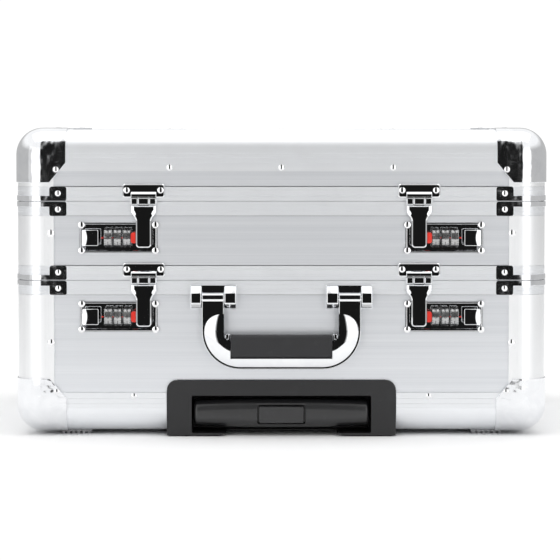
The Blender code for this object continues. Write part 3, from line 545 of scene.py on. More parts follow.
def lined_panel(name, low, high, roughness, strength, bump):
    """Brushed sheet outside, with its lines along the walls and the large faces, and black pile inside."""
    made, tree, shader = new_material(name)
    place = node(tree, "TexCoord").outputs["Object"]
    height = node(tree, "SeparateXYZ", {0: place}).outputs["Z"]
    middle_z = (TOP + FLOOR) / 2
    from_middle = node(tree, "Math", {0: height, 1: middle_z}, operation="SUBTRACT")
    reach = node(tree, "Math", {0: from_middle.outputs[0]}, operation="ABSOLUTE").outputs[0]
    half_z = (TOP - FLOOR) / 2
    flat = ramp_value(tree, reach, 3.0, 1100.0, (half_z - 0.0045, half_z - 0.0035))
    stretch = node(tree, "CombineXYZ", {"X": 3.0, "Y": flat, "Z": 1100.0})
    along = node(tree, "VectorMath", {0: place, 1: stretch.outputs[0]}, operation="MULTIPLY")
    lines = use(tree, DRAWN_LINES, {"Place": along.outputs[0], "Strength": strength})
    tone = node(tree, "Math", {0: lines["Tone"], 1: 0.5}, operation="ADD").outputs[0]
    metal = ramp_colour(tree, tone, low, high)

    centred = node(tree, "VectorMath", {0: place, 1: (0.0, MIDDLE_Y, middle_z)}, operation="SUBTRACT")
    absolute = node(tree, "VectorMath", {0: centred.outputs[0]}, operation="ABSOLUTE")
    past = node(
        tree, "VectorMath", {0: absolute.outputs[0], 1: (RIGHT, HALF_D, half_z)}, operation="SUBTRACT"
    )
    sides = node(tree, "SeparateXYZ", {0: past.outputs[0]})
    wider = node(tree, "Math", {0: sides.outputs["X"], 1: sides.outputs["Y"]}, operation="MAXIMUM")
    depth = node(tree, "Math", {0: wider.outputs[0], 1: sides.outputs["Z"]}, operation="MAXIMUM").outputs[0]
    inside = ramp_value(tree, depth, 1.0, 0.0, (-0.0046, -0.0044))
    pile = node(tree, "TexNoise", {"Vector": place, "Scale": 1400.0, "Detail": 4.0, "Roughness": 0.8})
    cloth = ramp_colour(tree, pile.outputs["Fac"], (0.006, 0.006, 0.007), (0.04, 0.04, 0.043), (0.3, 0.7))
    colour = node(tree, "Mix", {0: inside, 6: metal, 7: cloth}, data_type="RGBA").outputs[2]
    put(
        tree,
        shader,
        colour,
        ramp_value(tree, inside, roughness, 0.95),
        node(tree, "Mix", {0: inside, 2: lines["Height"], 3: pile.outputs["Fac"]}).outputs[0],
        bump,
        0.0001,
    )
    tree.links.new(ramp_value(tree, inside, 1.0, 0.0), shader.inputs["Metallic"])
    return made


PANEL = lined_panel("brushed_panel", (0.74, 0.76, 0.79), (0.92, 0.935, 0.96), 0.36, 0.8, 0.10)
POST_METAL = drawn_metal(
    "drawn_post", (900, 900, 3), (0.92, 0.93, 0.94), (0.98, 0.985, 0.99), 0.42, 0.7, 0.10
)
RING_METAL = ring_metal("drawn_extrusion", (0.84, 0.86, 0.885), (0.96, 0.97, 0.985), 0.37, 0.7, 0.12)
TUBE_STEEL = drawn_metal(
    "polished_tube", (700, 3, 700), (0.72, 0.73, 0.74), (0.86, 0.87, 0.88), 0.20, 0.6, 0.05
)
CHROME = plated_metal("chrome_plate", (0.84, 0.85, 0.87), (0.90, 0.91, 0.92), 0.035, 0.02, 0.0003)
STAMPED = plated_metal("stamped_chrome", (0.80, 0.81, 0.83), (0.88, 0.89, 0.905), 0.09, 0.35, 0.0007)
RIVET_STEEL = plated_metal("rivet_steel", (0.80, 0.80, 0.81), (0.90, 0.90, 0.91), 0.09, 0.02, 0.0002)
DIAL_METAL = plated_metal("dial_metal", (0.42, 0.42, 0.42), (0.55, 0.55, 0.55), 0.26, 0.05, 0.0002)
HOUSING_PLASTIC = moulded(
    "housing_plastic", (0.012, 0.012, 0.013), (0.020, 0.020, 0.022), 0.50, 2600.0, 0.10
)
PULL_PLASTIC = moulded(
    "pull_plastic",
    (0.014, 0.014, 0.015),
    (0.020, 0.020, 0.022),
    0.30,
    3200.0,
    0.04,
    Coat_Weight=0.5,
    Coat_Roughness=0.2,
)
GRIP_PLASTIC = moulded("grip_plastic", (0.014, 0.014, 0.016), (0.022, 0.022, 0.024), 0.50, 1500.0, 0.20)
FOOT_PLASTIC = moulded("foot_plastic", (0.36, 0.36, 0.37), (0.45, 0.45, 0.46), 0.60, 1800.0, 0.15)
TYRE_RUBBER = moulded("tyre_rubber", (0.022, 0.022, 0.024), (0.05, 0.048, 0.046), 0.68, 1200.0, 0.25)
RED_PLASTIC = moulded(
    "red_plastic", (0.72, 0.028, 0.016), (0.80, 0.06, 0.035), 0.30, 4000.0, 0.03, Coat_Weight=0.3
)
NUMERAL_INK = moulded("numeral_ink", (0.03, 0.03, 0.033), (0.06, 0.06, 0.06), 0.55, 4000.0, 0.03)
LINING = flocked("lining_flock", (0.008, 0.008, 0.009), (0.045, 0.045, 0.048))


# ---------------------------------------------------------------- floor, light and camera

FLOOR_SIZE = 2.4
FLOOR_AHEAD = 0.75  # how far it reaches towards the camera
WALL_TONE = 0.55
BOARD_TONE = 1.60
CEILING_TONE = 1.10
OPENING_TONE = 0.01
SKY_TONE = 1.05  # what the camera sees behind the floor
CAMERA_AWAY = 2.4
FRAME_WIDTH = 0.4827  # what the view is wide at the case's front
AIM_HEIGHT = 0.1315  # above the body's underside
AIM_X = -0.0012


def make_floor():
    """A pale floor; it ends before the dark opening that the plated parts reflect."""
    let_go()
    middle_y = FLOOR_SIZE / 2 - FLOOR_AHEAD
    bpy.ops.mesh.primitive_plane_add(size=FLOOR_SIZE, location=(0, middle_y, CAD_BOX[0].z))
    floor = settle("studio_floor")
    made, tree, shader = new_material("pale_floor", Roughness=0.9, Specular_IOR_Level=0.0)
    place = node(tree, "TexCoord").outputs["Object"]
    paper = node(tree, "TexNoise", {"Vector": place, "Scale": 300.0})
    put(tree, shader, ramp_colour(tree, paper.outputs["Fac"], (0.96, 0.96, 0.96), (0.98, 0.98, 0.98)))
    floor.data.materials.append(made)


def make_surroundings():
    """White boards either side of a dark opening in front of the case, grey walls, and a bright ceiling."""
    world = bpy.data.worlds.new("studio")
    bpy.context.scene.world = world
    world.use_nodes = True
    tree = world.node_tree
    back = tree.nodes["Background"]
    way = node(tree, "SeparateXYZ", {0: node(tree, "TexCoord").outputs["Generated"]})
    ahead = node(tree, "Math", {0: way.outputs["Y"], 1: -1.0}, operation="MULTIPLY").outputs[0]
    forward = node(tree, "Math", {0: ahead, 1: 0.02}, operation="MAXIMUM").outputs[0]
    across = node(tree, "Math", {0: way.outputs["X"], 1: forward}, operation="DIVIDE").outputs[0]
    aside = node(tree, "Math", {0: across}, operation="ABSOLUTE").outputs[0]

    board = ramp_value(tree, aside, 1.0, 0.0, (0.85, 1.15))
    gap = ramp_value(tree, aside, 0.0, 1.0, (0.13, 0.22))
    ceiling = ramp_value(tree, way.outputs["Z"], 0.0, 1.0, (0.30, 0.55))
    lit = node(tree, "Mix", {0: board, 2: WALL_TONE, 3: BOARD_TONE}).outputs[0]
    above = node(tree, "Mix", {0: ceiling, 2: lit, 3: CEILING_TONE}).outputs[0]
    ahead_only = ramp_value(tree, ahead, 0.0, 1.0, (0.0, 0.1))
    shut = node(tree, "Math", {0: 1.0, 1: gap}, operation="SUBTRACT").outputs[0]
    dark = node(tree, "Math", {0: shut, 1: ahead_only}, operation="MULTIPLY").outputs[0]
    opening = node(tree, "Mix", {0: dark, 2: above, 3: OPENING_TONE}).outputs[0]
    seen = node(tree, "LightPath").outputs["Is Camera Ray"]
    shown = node(tree, "Mix", {0: seen, 2: opening, 3: SKY_TONE}).outputs[0]
    tree.links.new(shown, back.inputs["Strength"])
    back.inputs["Color"].default_value = (1.0, 1.0, 1.0, 1.0)


def add_light(name, place, aim, size, power):
    data = bpy.data.lights.new(name, "AREA")
    data.shape = "RECTANGLE"
    data.size = size[0]
    data.size_y = size[1]
    data.energy = power
    light = bpy.data.objects.new(name, data)
    light.location = place
    light.rotation_euler = (Vector(aim) - Vector(place)).to_track_quat("-Z", "Y").to_euler()
    light.visible_camera = False
    bpy.context.scene.collection.objects.link(light)


def make_camera():
    data = bpy.data.cameras.new("camera")
    data.sensor_width = 36
    data.lens = data.sensor_width * CAMERA_AWAY / FRAME_WIDTH
    camera = bpy.data.objects.new("camera", data)
    aim = Vector((AIM_X, FRONT, FLOOR + AIM_HEIGHT))
    camera.location = (AIM_X, FRONT - CAMERA_AWAY, TOP)
    camera.rotation_euler = (aim - camera.location).to_track_quat("-Z", "Y").to_euler()
    bpy.context.scene.collection.objects.link(camera)
    bpy.context.scene.camera = camera


make_camera()
make_floor()
make_surroundings()
add_light("overhead", (0.0, -0.2, 1.9), (0.0, 0.0, 0.1), (2.4, 1.8), 9)
add_light("left_side", (-1.3, -1.2, 0.5), (0.0, FRONT, 0.1), (0.8, 1.2), 0.7)
bpy.context.scene.view_settings.view_transform = "Standard"


# ---------------------------------------------------------------- the case's extrusions


def add_wall(name, low, high, out=0.0, radius=EDGE_R):
    """The case's rounded outline as an open wall between two heights, standing out by a distance."""
    wall = add_block(name, (-RIGHT - out, FRONT - out, low), (RIGHT + out, BACK + out, high))
    remove(wall, "FACE", lambda place, normal: abs(normal.z) > 0.9)
    round_edges(wall, upright, radius + out, 12)
    return wall


def add_rounded_body(name, out=0.0):
    """The whole case's outer form with every edge rolled."""
    body = add_block(name, (-RIGHT - out, FRONT - out, FLOOR - out), (RIGHT + out, BACK + out, TOP + out))
    round_edges(body, everything, EDGE_R + out, 12)
    return body


def add_grooves(piece, heights, width=0.35 * MM, depth=0.25 * MM):
    """Fine lines pressed into the upright faces at some heights."""
    for height in heights:
        for edge in (height - width / 2, height + width / 2):
            cut(piece, (0, 0, edge), (0, 0, 1))
        press(piece, lambda place, normal: abs(place.z - height) < width / 2 and abs(normal.z) < 0.3, depth)


def make_rolled_edge(name, body, face_z, inward):
    """The extrusion round a large face: a rolled edge with a flange on the walls and one on the face."""
    edge = add_rounded_body(name)
    flange = (BASE_EDGE_UP if inward > 0 else LID_EDGE_DOWN) * inward
    cut(edge, (0, 0, face_z + flange), (0, 0, inward), drop=True)
    for sign in (-1, 1):
        cut(edge, (sign * (RIGHT - EDGE_FLAT), 0, 0), (1, 0, 0))
        cut(edge, (0, MIDDLE_Y + sign * (HALF_D - EDGE_FLAT), 0), (0, 1, 0))
    inner = RIGHT - EDGE_FLAT, HALF_D - EDGE_FLAT
    remove(
        edge,
        "FACE",
        lambda place, normal: abs(place.z - face_z) < MM
        and abs(place.x) < inner[0]
        and abs(place.y - MIDDLE_Y) < inner[1],
    )
    lines = [face_z + inward * distance * MM for distance in (21.0, 24.5, 29.0)]
    add_grooves(edge, lines)
    if inward > 0:
        edge = cut_for_housings(edge)
    thicken(edge, SKIN)
    soften(edge, 0.25 * MM, 2, 50)
    return finish_piece(edge, RING_METAL, body, 30)


def cut_for_housings(piece):
    """Opens the base's edge round the telescopic handle and the wheels."""
    gap = 0.3 * MM
    spaces = [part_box("trolley_housing"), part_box("wheel_housing_left"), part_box("wheel_housing_right")]
    for low, high in spaces:
        near = [low.x - gap, high.x + gap]
        for x in near:
            cut(piece, (x, 0, 0), (1, 0, 0))
        cut(piece, (0, 0, high.z + gap), (0, 0, 1))
        ends = [low.y - gap, high.y + gap]
        for y in ends:
            cut(piece, (0, y, 0), (0, 1, 0))
        remove(
            piece,
            "FACE",
            lambda place, normal: near[0] < place.x < near[1]
            and place.z < high.z + gap
            and ends[0] < place.y < ends[1],
        )
    return piece


def make_mouth(name, body, low, high, tongue):
    """The extrusion round a tier's mouth: its face, and a tongue or the groove that takes one."""
    lines = [low + (high - low) * share for share in (0.28, 0.42, 0.72)]
    mouth = add_wall(name, low, high)
    add_grooves(mouth, lines)
    thicken(mouth, SKIN)
    inner = add_wall(name + "_inner", low, high, -5.3 * MM)
    thicken(inner, MOUTH_T - 5.3 * MM)
    parts = [inner]
    if tongue:
        lip = add_wall(name + "_tongue", high - 4 * MM, high + 2.5 * MM, -3.0 * MM)
        thicken(lip, 1.6 * MM)
        ledge = add_wall(name + "_ledge", high - 1.2 * MM, high, -1.2 * MM)
        thicken(ledge, 4.2 * MM)
        parts += [lip, ledge]
    else:
        roof = add_wall(name + "_roof", low + 3.2 * MM, low + 4.4 * MM, -1.2 * MM)
        thicken(roof, 4.2 * MM)
        slide = add_wall(name + "_slide", low, low + 3.3 * MM, -1.2 * MM)
        thicken(slide, 0.9 * MM)
        parts += [roof, slide]
    join(mouth, parts)
    soften(mouth, 0.2 * MM, 1, 60)
    return finish_piece(mouth, RING_METAL, body, 30)


def make_posts(tier, body, low, high):
    """The four corner posts of a tier, each with a rounded back and two flanges."""
    post = add_wall("post", low, high)
    inner_y = MIDDLE_Y - HALF_D + POST_FLANGE
    cut(post, (-RIGHT + POST_FLANGE, 0, 0), (1, 0, 0), drop=True)
    cut(post, (0, inner_y, 0), (0, 1, 0), drop=True)
    for line in (3.0, 6.0):
        for width in (-0.2, 0.2):
            cut(post, (-RIGHT + EDGE_R + (line + width) * MM, 0, 0), (1, 0, 0))
        middle = -RIGHT + EDGE_R + line * MM
        press(
            post,
            lambda place, normal: abs(place.x - middle) < 0.25 * MM and abs(normal.y) > 0.9,
            0.25 * MM,
        )
    thicken(post, SKIN)
    soften(post, 0.25 * MM, 2, 50)
    mirror_y = Matrix.Translation((0, 2 * MIDDLE_Y, 0)) @ Matrix.Diagonal((1, -1, 1, 1))
    for side, sx in SIDES:
        for place, sy in (("front", -1), ("back", 1)):
            if tier == "base" and sy > 0:
                continue
            turn = Matrix.Diagonal((-sx, 1, 1, 1))
            if sy > 0:
                turn = mirror_y @ turn
            twin = copy_of(post, f"{tier}_post_{place}_{side}", turn)
            finish_piece(twin, POST_METAL, body, 30)
    if tier == "base":
        make_short_posts(post, mirror_y, body)
    discard(post)


def make_short_posts(post, mirror_y, body):
    """The base's rear posts, which stop above the wheel housings."""
    for side, sx in SIDES:
        twin = copy_of(post, f"base_post_back_{side}", mirror_y @ Matrix.Diagonal((-sx, 1, 1, 1)))
        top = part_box(f"wheel_housing_{side}")[1].z + 0.3 * MM
        cut(twin, (0, 0, top), (0, 0, -1), drop=True, fill=True)
        finish_piece(twin, POST_METAL, body, 30)


def make_extrusions():
    """Every tier's frame, as separate drawn lengths."""
    gap = SEAM_GAP
    base_mouth = TRAY_SEAM - MOUTH_H
    tray_low = TRAY_SEAM + MOUTH_H
    tray_high = LID_SEAM - MOUTH_H
    lid_low = LID_SEAM + MOUTH_H
    line = 0.15 * MM
    base_edge = make_rolled_edge("base_rolled_edge", "base", FLOOR, 1)
    lid_edge = make_rolled_edge("lid_rolled_edge", "lid", TOP, -1)
    make_mouth("base_mouth_extrusion", "base", base_mouth, TRAY_SEAM - gap, True)
    tray_ring = make_mouth("tray_lower_mouth", "tray", TRAY_SEAM + gap, tray_low, False)
    make_mouth("tray_upper_mouth", "tray", tray_high, LID_SEAM - gap, True)
    make_mouth("lid_mouth_extrusion", "lid", LID_SEAM + gap, lid_low, False)
    make_posts("base", "base", FLOOR + BASE_EDGE_UP + line, base_mouth - line)
    make_posts("tray", "tray", tray_low + line, tray_high - line)
    make_posts("lid", "lid", lid_low + line, TOP - LID_EDGE_DOWN - line)
    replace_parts(base_edge, "base_frame")
    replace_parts(tray_ring, "tray_frame")
    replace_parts(lid_edge, "lid_frame")


# ---------------------------------------------------------------- corners, clips and rivets

CHROME_OUT = 1.3 * MM
CHROME_T = 1.0 * MM
CORNER_REACH = 43.4 * MM
CORNER_TALL = 46.0 * MM
CORNER_KNEE = 29.0 * MM


def corner_frame(sx, sy, sz):
    """Turns a shape made at the front left top corner to another corner of the case."""
    middle_z = (TOP + FLOOR) / 2
    place = Matrix.Translation((0, MIDDLE_Y, middle_z))
    return place @ Matrix.Diagonal((-sx, -sy, sz, 1)) @ place.inverted()


def add_ball_corner():
    """A stamped chrome cap: a round nose and three legs with their inner corners cut off."""
    cap = add_rounded_body("ball_corner", CHROME_OUT)
    cut(cap, (-RIGHT + CORNER_REACH, 0, 0), (1, 0, 0), drop=True)
    cut(cap, (0, FRONT + CORNER_REACH, 0), (0, 1, 0), drop=True)
    cut(cap, (0, 0, TOP - CORNER_TALL), (0, 0, -1), drop=True)
    knee_x = (-RIGHT + CORNER_KNEE, 0, TOP - CORNER_TALL)
    cut(cap, knee_x, (CORNER_TALL - CORNER_KNEE, 0, -(CORNER_REACH - CORNER_KNEE)), drop=True)
    knee_y = (0, FRONT + CORNER_KNEE, TOP - CORNER_TALL)
    cut(cap, knee_y, (0, CORNER_TALL - CORNER_KNEE, -(CORNER_REACH - CORNER_KNEE)), drop=True)
    knee_top = (-RIGHT + CORNER_KNEE, FRONT + CORNER_REACH, 0)
    cut(cap, knee_top, (1, 1, 0), drop=True)
    thicken(cap, CHROME_T)
    soften(cap, 0.45 * MM, 3, 50)
    return cap


def make_ball_corners():
    cap = add_ball_corner()
    for side, sx in SIDES:
        low = copy_of(cap, f"base_ball_corner_{side}", corner_frame(sx, -1, -1))
        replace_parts(finish_piece(low, STAMPED, "base", 35), f"base_corner_{side}")
        for place, sy in (("front", -1), ("back", 1)):
            high = copy_of(cap, f"lid_ball_corner_{place}_{side}", corner_frame(sx, sy, 1))
            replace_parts(finish_piece(high, STAMPED, "lid", 35), f"lid_corner_{place}_{side}")
    discard(cap)


CLIP_OUT = 0.8 * MM
CLIP_STRIP = 4.5 * MM
CLIP_H = 12.5 * MM
CLIP_END = 44.0 * MM
CLIP_TAB = 28.7 * MM


def add_clip():
    """A chrome strip round the front left corner just above a seam, with a tab at each end."""
    low = LID_SEAM + SEAM_GAP
    clip = add_wall("corner_clip", low, low + CLIP_H, CLIP_OUT)
    cut(clip, (-RIGHT + CLIP_END, 0, 0), (1, 0, 0), drop=True)
    cut(clip, (0, FRONT + CLIP_END, 0), (0, 1, 0), drop=True)
    cut(clip, (0, 0, low + CLIP_STRIP), (0, 0, 1))
    cut(clip, (-RIGHT + CLIP_TAB, 0, 0), (1, 0, 0))
    cut(clip, (0, FRONT + CLIP_TAB, 0), (0, 1, 0))
    remove(
        clip,
        "FACE",
        lambda place, normal: place.z > low + CLIP_STRIP
        and place.x < -RIGHT + CLIP_TAB
        and place.y < FRONT + CLIP_TAB,
    )
    ends = (-RIGHT + CLIP_END, -RIGHT + CLIP_TAB), (FRONT + CLIP_END, FRONT + CLIP_TAB)

    def at_tab_corner(place, normal):
        on_x = any(abs(place.x - x) < 0.1 * MM for x in ends[0])
        on_y = any(abs(place.y - y) < 0.1 * MM for y in ends[1])
        tall = abs(place.z - low - CLIP_H) < 0.1 * MM
        foot = abs(place.z - low) < 0.1 * MM and (
            abs(place.x - ends[0][0]) < 0.1 * MM or abs(place.y - ends[1][0]) < 0.1 * MM
        )
        return (on_x or on_y) and (tall or foot)

    choose(clip, "VERT", at_tab_corner)
    bpy.ops.mesh.bevel(offset=2.0 * MM, segments=4, affect="VERTICES")
    let_go()
    thicken(clip, 0.7 * MM)
    soften(clip, 0.25 * MM, 2, 50)
    return clip


def add_rivet(radius, height):
    """A domed rivet head on a thin rim, pointing to -Y from the origin."""
    let_go()
    bpy.ops.mesh.primitive_uv_sphere_add(
        segments=18, ring_count=10, radius=radius, rotation=(math.pi / 2, 0, 0)
    )
    rivet = settle("rivet")
    cut(rivet, (0, -radius * 0.3, 0), (0, 1, 0), drop=True)
    full = radius * 0.7
    flatter = Matrix.Diagonal((1, height / full, 1, 1))
    rivet.data.transform(flatter @ Matrix.Translation((0, radius * 0.3, 0)))
    choose(rivet, "EDGE", lambda middle, direction: abs(middle.y) < 0.05 * MM)
    bpy.ops.mesh.extrude_edges_move(TRANSFORM_OT_translate={"value": (0, 0.25 * MM, 0)})
    bpy.ops.mesh.edge_face_add()
    let_go()
    tidy_normals(rivet)
    return rivet


TURN_TO_SIDE = {
    "front": Matrix(),
    "back": Matrix.Rotation(math.pi, 4, "Z"),
    "left": Matrix.Rotation(-math.pi / 2, 4, "Z"),
    "right": Matrix.Rotation(math.pi / 2, 4, "Z"),
    "top": Matrix.Rotation(-math.pi / 2, 4, "X"),
    "bottom": Matrix.Rotation(math.pi / 2, 4, "X"),
}


def set_rivets(name, body, rivet, places):
    """Copies of a rivet at places, each a point and the side that it faces, as one piece."""
    heads = [copy_of(rivet, name, Matrix.Translation(point) @ TURN_TO_SIDE[side]) for point, side in places]
    return finish_piece(join(heads[0], heads[1:]), RIVET_STEEL, body, 50)


def round_the_case(distance, height, proud):
    """The points at both corners of each side wall, at a distance from the case's end."""
    points = []
    for sx in (-1, 1):
        for sy, side in ((-1, "front"), (1, "back")):
            points.append(((sx * (RIGHT - distance), MIDDLE_Y + sy * (HALF_D + proud), height), side))
        for sy in (-1, 1):
            side = "left" if sx < 0 else "right"
            points.append(((sx * (RIGHT + proud), MIDDLE_Y + sy * (HALF_D - distance), height), side))
    return points


def make_clips_and_rivets():
    clip = add_clip()
    small = add_rivet(2.9 * MM, 0.6 * MM)
    large = add_rivet(3.4 * MM, 0.7 * MM)
    tab_middle = (CLIP_END + CLIP_TAB) / 2
    tab_rise = SEAM_GAP + 6.6 * MM
    seams = (
        ("base_top", "base", TRAY_SEAM, -1),
        ("tray_bottom", "tray", TRAY_SEAM, 1),
        ("tray_top", "tray", LID_SEAM, -1),
        ("lid_bottom", "lid", LID_SEAM, 1),
    )
    for name, body, seam, up in seams:
        to_seam = Matrix.Translation((0, 0, seam))
        flip = to_seam @ Matrix.Diagonal((1, 1, up, 1)) @ Matrix.Translation((0, 0, -LID_SEAM))
        for side, sx in SIDES:
            for place, sy in (("front", -1), ("back", 1)):
                turn = Matrix.Translation((0, MIDDLE_Y, 0)) @ Matrix.Diagonal((-sx, -sy, 1, 1))
                matrix = turn @ Matrix.Translation((0, -MIDDLE_Y, 0)) @ flip
                twin = copy_of(clip, f"{name}_clip_{place}_{side}", matrix)
                finish_piece(twin, STAMPED, body, 40)
        heads = round_the_case(tab_middle, seam + up * tab_rise, CLIP_OUT - 0.1 * MM)
        set_rivets(f"{name}_clip_rivets", body, small, heads)
    for tier, height in (("base", 0.6 * TRAY_SEAM), ("tray", LID_SEAM - 27.5 * MM)):
        heads = round_the_case(30.0 * MM, height, 0.0)
        set_rivets(f"{tier}_post_rivets", tier, large, heads)
    make_edge_rivets(small)
    make_corner_rivets(small)
    discard(clip, small, large)


def make_edge_rivets(rivet):
    """The rivets that hold the boards in the rolled edges."""
    lid_z = TOP - 32.9 * MM
    base_z = FLOOR + 30.8 * MM
    lid = []
    base = []
    for x in (-0.0965, 0.0, 0.0965):
        lid += [((x, FRONT, lid_z), "front"), ((x, BACK, lid_z), "back")]
        for sy in (-1, 1):
            lid.append(((x, MIDDLE_Y + sy * (HALF_D - 30 * MM), TOP), "top"))
    for sx, side in ((-1, "left"), (1, "right")):
        base += [((sx * 0.1275, FRONT, base_z), "front"), ((sx * 0.1275, BACK, base_z), "back")]
        for y in (MIDDLE_Y - 0.06, MIDDLE_Y + 0.06):
            lid += [((sx * RIGHT, y, lid_z), side), ((sx * (RIGHT - 30 * MM), y, TOP), "top")]
            base.append(((sx * RIGHT, y, base_z), side))
    set_rivets("lid_edge_rivets", "lid", rivet, lid)
    set_rivets("base_edge_rivets", "base", rivet, base)


def make_corner_rivets(rivet):
    """One rivet in each leg of the chrome corners."""
    near = 34.6 * MM
    for body, face_z, up in (("lid", TOP, 1), ("base", FLOOR, -1)):
        heads = []
        for point, side in round_the_case(near, face_z - up * near, CHROME_OUT - 0.1 * MM):
            if body == "lid" or point[1] < MIDDLE_Y:
                heads.append((point, side))
        for sx in (-1, 1):
            for sy in (-1, 1):
                if body == "lid" or sy < 0:
                    x = sx * (RIGHT - near)
                    y = MIDDLE_Y + sy * (HALF_D - near)
                    z = face_z + up * (CHROME_OUT - 0.1 * MM)
                    heads.append(((x, y, z), "top" if up > 0 else "bottom"))
        set_rivets(f"{body}_corner_rivets", body, rivet, heads)


make_extrusions()
make_ball_corners()
make_clips_and_rivets()


# ---------------------------------------------------------------- locks

LOCK_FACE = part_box("tray_right_lock_case")[0].y - 0.8 * MM
DIAL_TEETH = 50


def box_at(x, y, z, size):
    """The low and high corners of a block of a size round a point."""
    half = Vector(size) / 2
    middle = Vector((x, y, z))
    return middle - half, middle + half


def add_lock_plate(low, high, openings):
    """A lock's face: a sloped rim round a flat face with its openings, and the box behind it."""
    plate = add_block("lock_plate", low, (high.x, FRONT - 0.2 * MM, high.z))
    round_edges(plate, along_y, 1.0 * MM, 3)
    raise_face(plate, faces_front, 1.2 * MM, 0.8 * MM)
    cutters = [add_block("opening", *opening) for opening in openings]
    cut_out(plate, cutters)
    soften(plate, 0.15 * MM, 2, 60)
    works = add_block(
        "lock_works",
        (low.x + 2.8 * MM, FRONT - 0.15 * MM, low.z + 2.7 * MM),
        (high.x - 2.8 * MM, high.y, high.z - 2.7 * MM),
    )
    remove(works, "FACE", faces_front)
    thicken(works, 1.0 * MM)
    soften(works, 0.3 * MM, 2, 60)
    return join(plate, [works])


def add_button(low, high):
    """The thumb button: a square cap whose outer part is scooped out."""
    middle = (low + high) / 2
    front = low.y - 1.0 * MM
    cap = add_block("thumb_button", (low.x, front, low.z), (high.x, LOCK_FACE - 0.1 * MM, high.z))
    round_edges(cap, along_y, 1.2 * MM, 4)
    soften(cap, 0.6 * MM, 3, 40)
    let_go()
    bpy.ops.mesh.primitive_cone_add(
        vertices=96,
        radius1=11.7 * MM,
        radius2=21.2 * MM,
        depth=2.4 * MM,
        location=(middle.x + 18.6 * MM, front, middle.z),
        rotation=(math.pi / 2, 0, 0),
    )
    scoop = settle("scoop")
    cut_out(cap, [scoop])
    stem = add_block("stem", *box_at(middle.x, FRONT + 2 * MM, middle.z, (6 * MM, 8 * MM, 7 * MM)))
    return join(cap, [stem])


def add_dial(low, high):
    """A number wheel with a smooth band between two milled edges."""
    middle = (low + high) / 2
    wide = high.x - low.x
    dial = add_disc("dial", middle, 8.35 * MM, wide, "X", DIAL_TEETH)
    band = 1.9 * MM
    for side in (-band, band):
        cut(dial, (middle.x + side, 0, 0), (1, 0, 0))
    step = math.tau / DIAL_TEETH
    press(
        dial,
        lambda place, normal: abs(place.x - middle.x) > band
        and abs(normal.x) < 0.1
        and int(math.atan2(normal.z, normal.y) / step + 100.25) % 2 == 0,
        -0.25 * MM,
    )
    choose(dial, "FACE", lambda place, normal: abs(normal.x) > 0.9 and abs(place.x - middle.x) > 2.5 * MM)
    bpy.ops.mesh.inset(thickness=1.2 * MM)
    let_go()
    return dial


def add_numerals(dial_low, dial_high):
    """The ten raised numbers round a dial."""
    middle = (dial_low + dial_high) / 2
    figures = []
    for number in range(10):
        let_go()
        bpy.ops.object.text_add()
        figure = bpy.context.active_object
        figure.data.body = str(number)
        figure.data.size = 4.6 * MM
        figure.data.align_x = "CENTER"
        figure.data.align_y = "CENTER"
        figure.data.extrude = 0.25 * MM
        figure.data.resolution_u = 3
        bpy.ops.object.convert(target="MESH")
        figure = bpy.context.active_object
        upright_turn = Matrix.Rotation(math.pi / 2, 4, "X")
        roll = Matrix.Rotation(number * math.tau / 10, 4, "X")
        out = Matrix.Translation((0, -8.15 * MM, 0))
        figure.data.transform(Matrix.Translation(middle) @ roll @ out @ upright_turn)
        figures.append(figure)
    return join(figures[0], figures[1:])


def add_slider(low, high):
    """The red reset slider, round on its outer side."""
    slider = add_block("reset_slider", (low.x, LOCK_FACE - 0.9 * MM, low.z), high)
    middle_x = (low.x + high.x) / 2
    round_edges(slider, along_y_and(lambda middle: middle.x > middle_x), 2.2 * MM, 5)
    soften(slider, 0.35 * MM, 2, 50)
    return slider


def add_index_marks(low, high, dial_middles):
    """Red marks between the dials, and an arrow towards the button."""
    z = (low.z + high.z) / 2
    pitch = dial_middles[0] - dial_middles[1]
    marks = []
    for x in (*[place + pitch / 2 for place in dial_middles], dial_middles[-1] - pitch / 2):
        mark = add_block("mark", *box_at(x, LOCK_FACE, z, (1.3 * MM, 0.2 * MM, 0.6 * MM)))
        marks.append(mark)
    arrow = add_disc("arrow", (dial_middles[0] + 1.25 * pitch / 2, LOCK_FACE, z), 1.0 * MM, 0.2 * MM, "Y", 3)
    marks.append(arrow)
    soften(marks[0], 0.05 * MM, 1, 50)
    return join(marks[0], marks[1:])


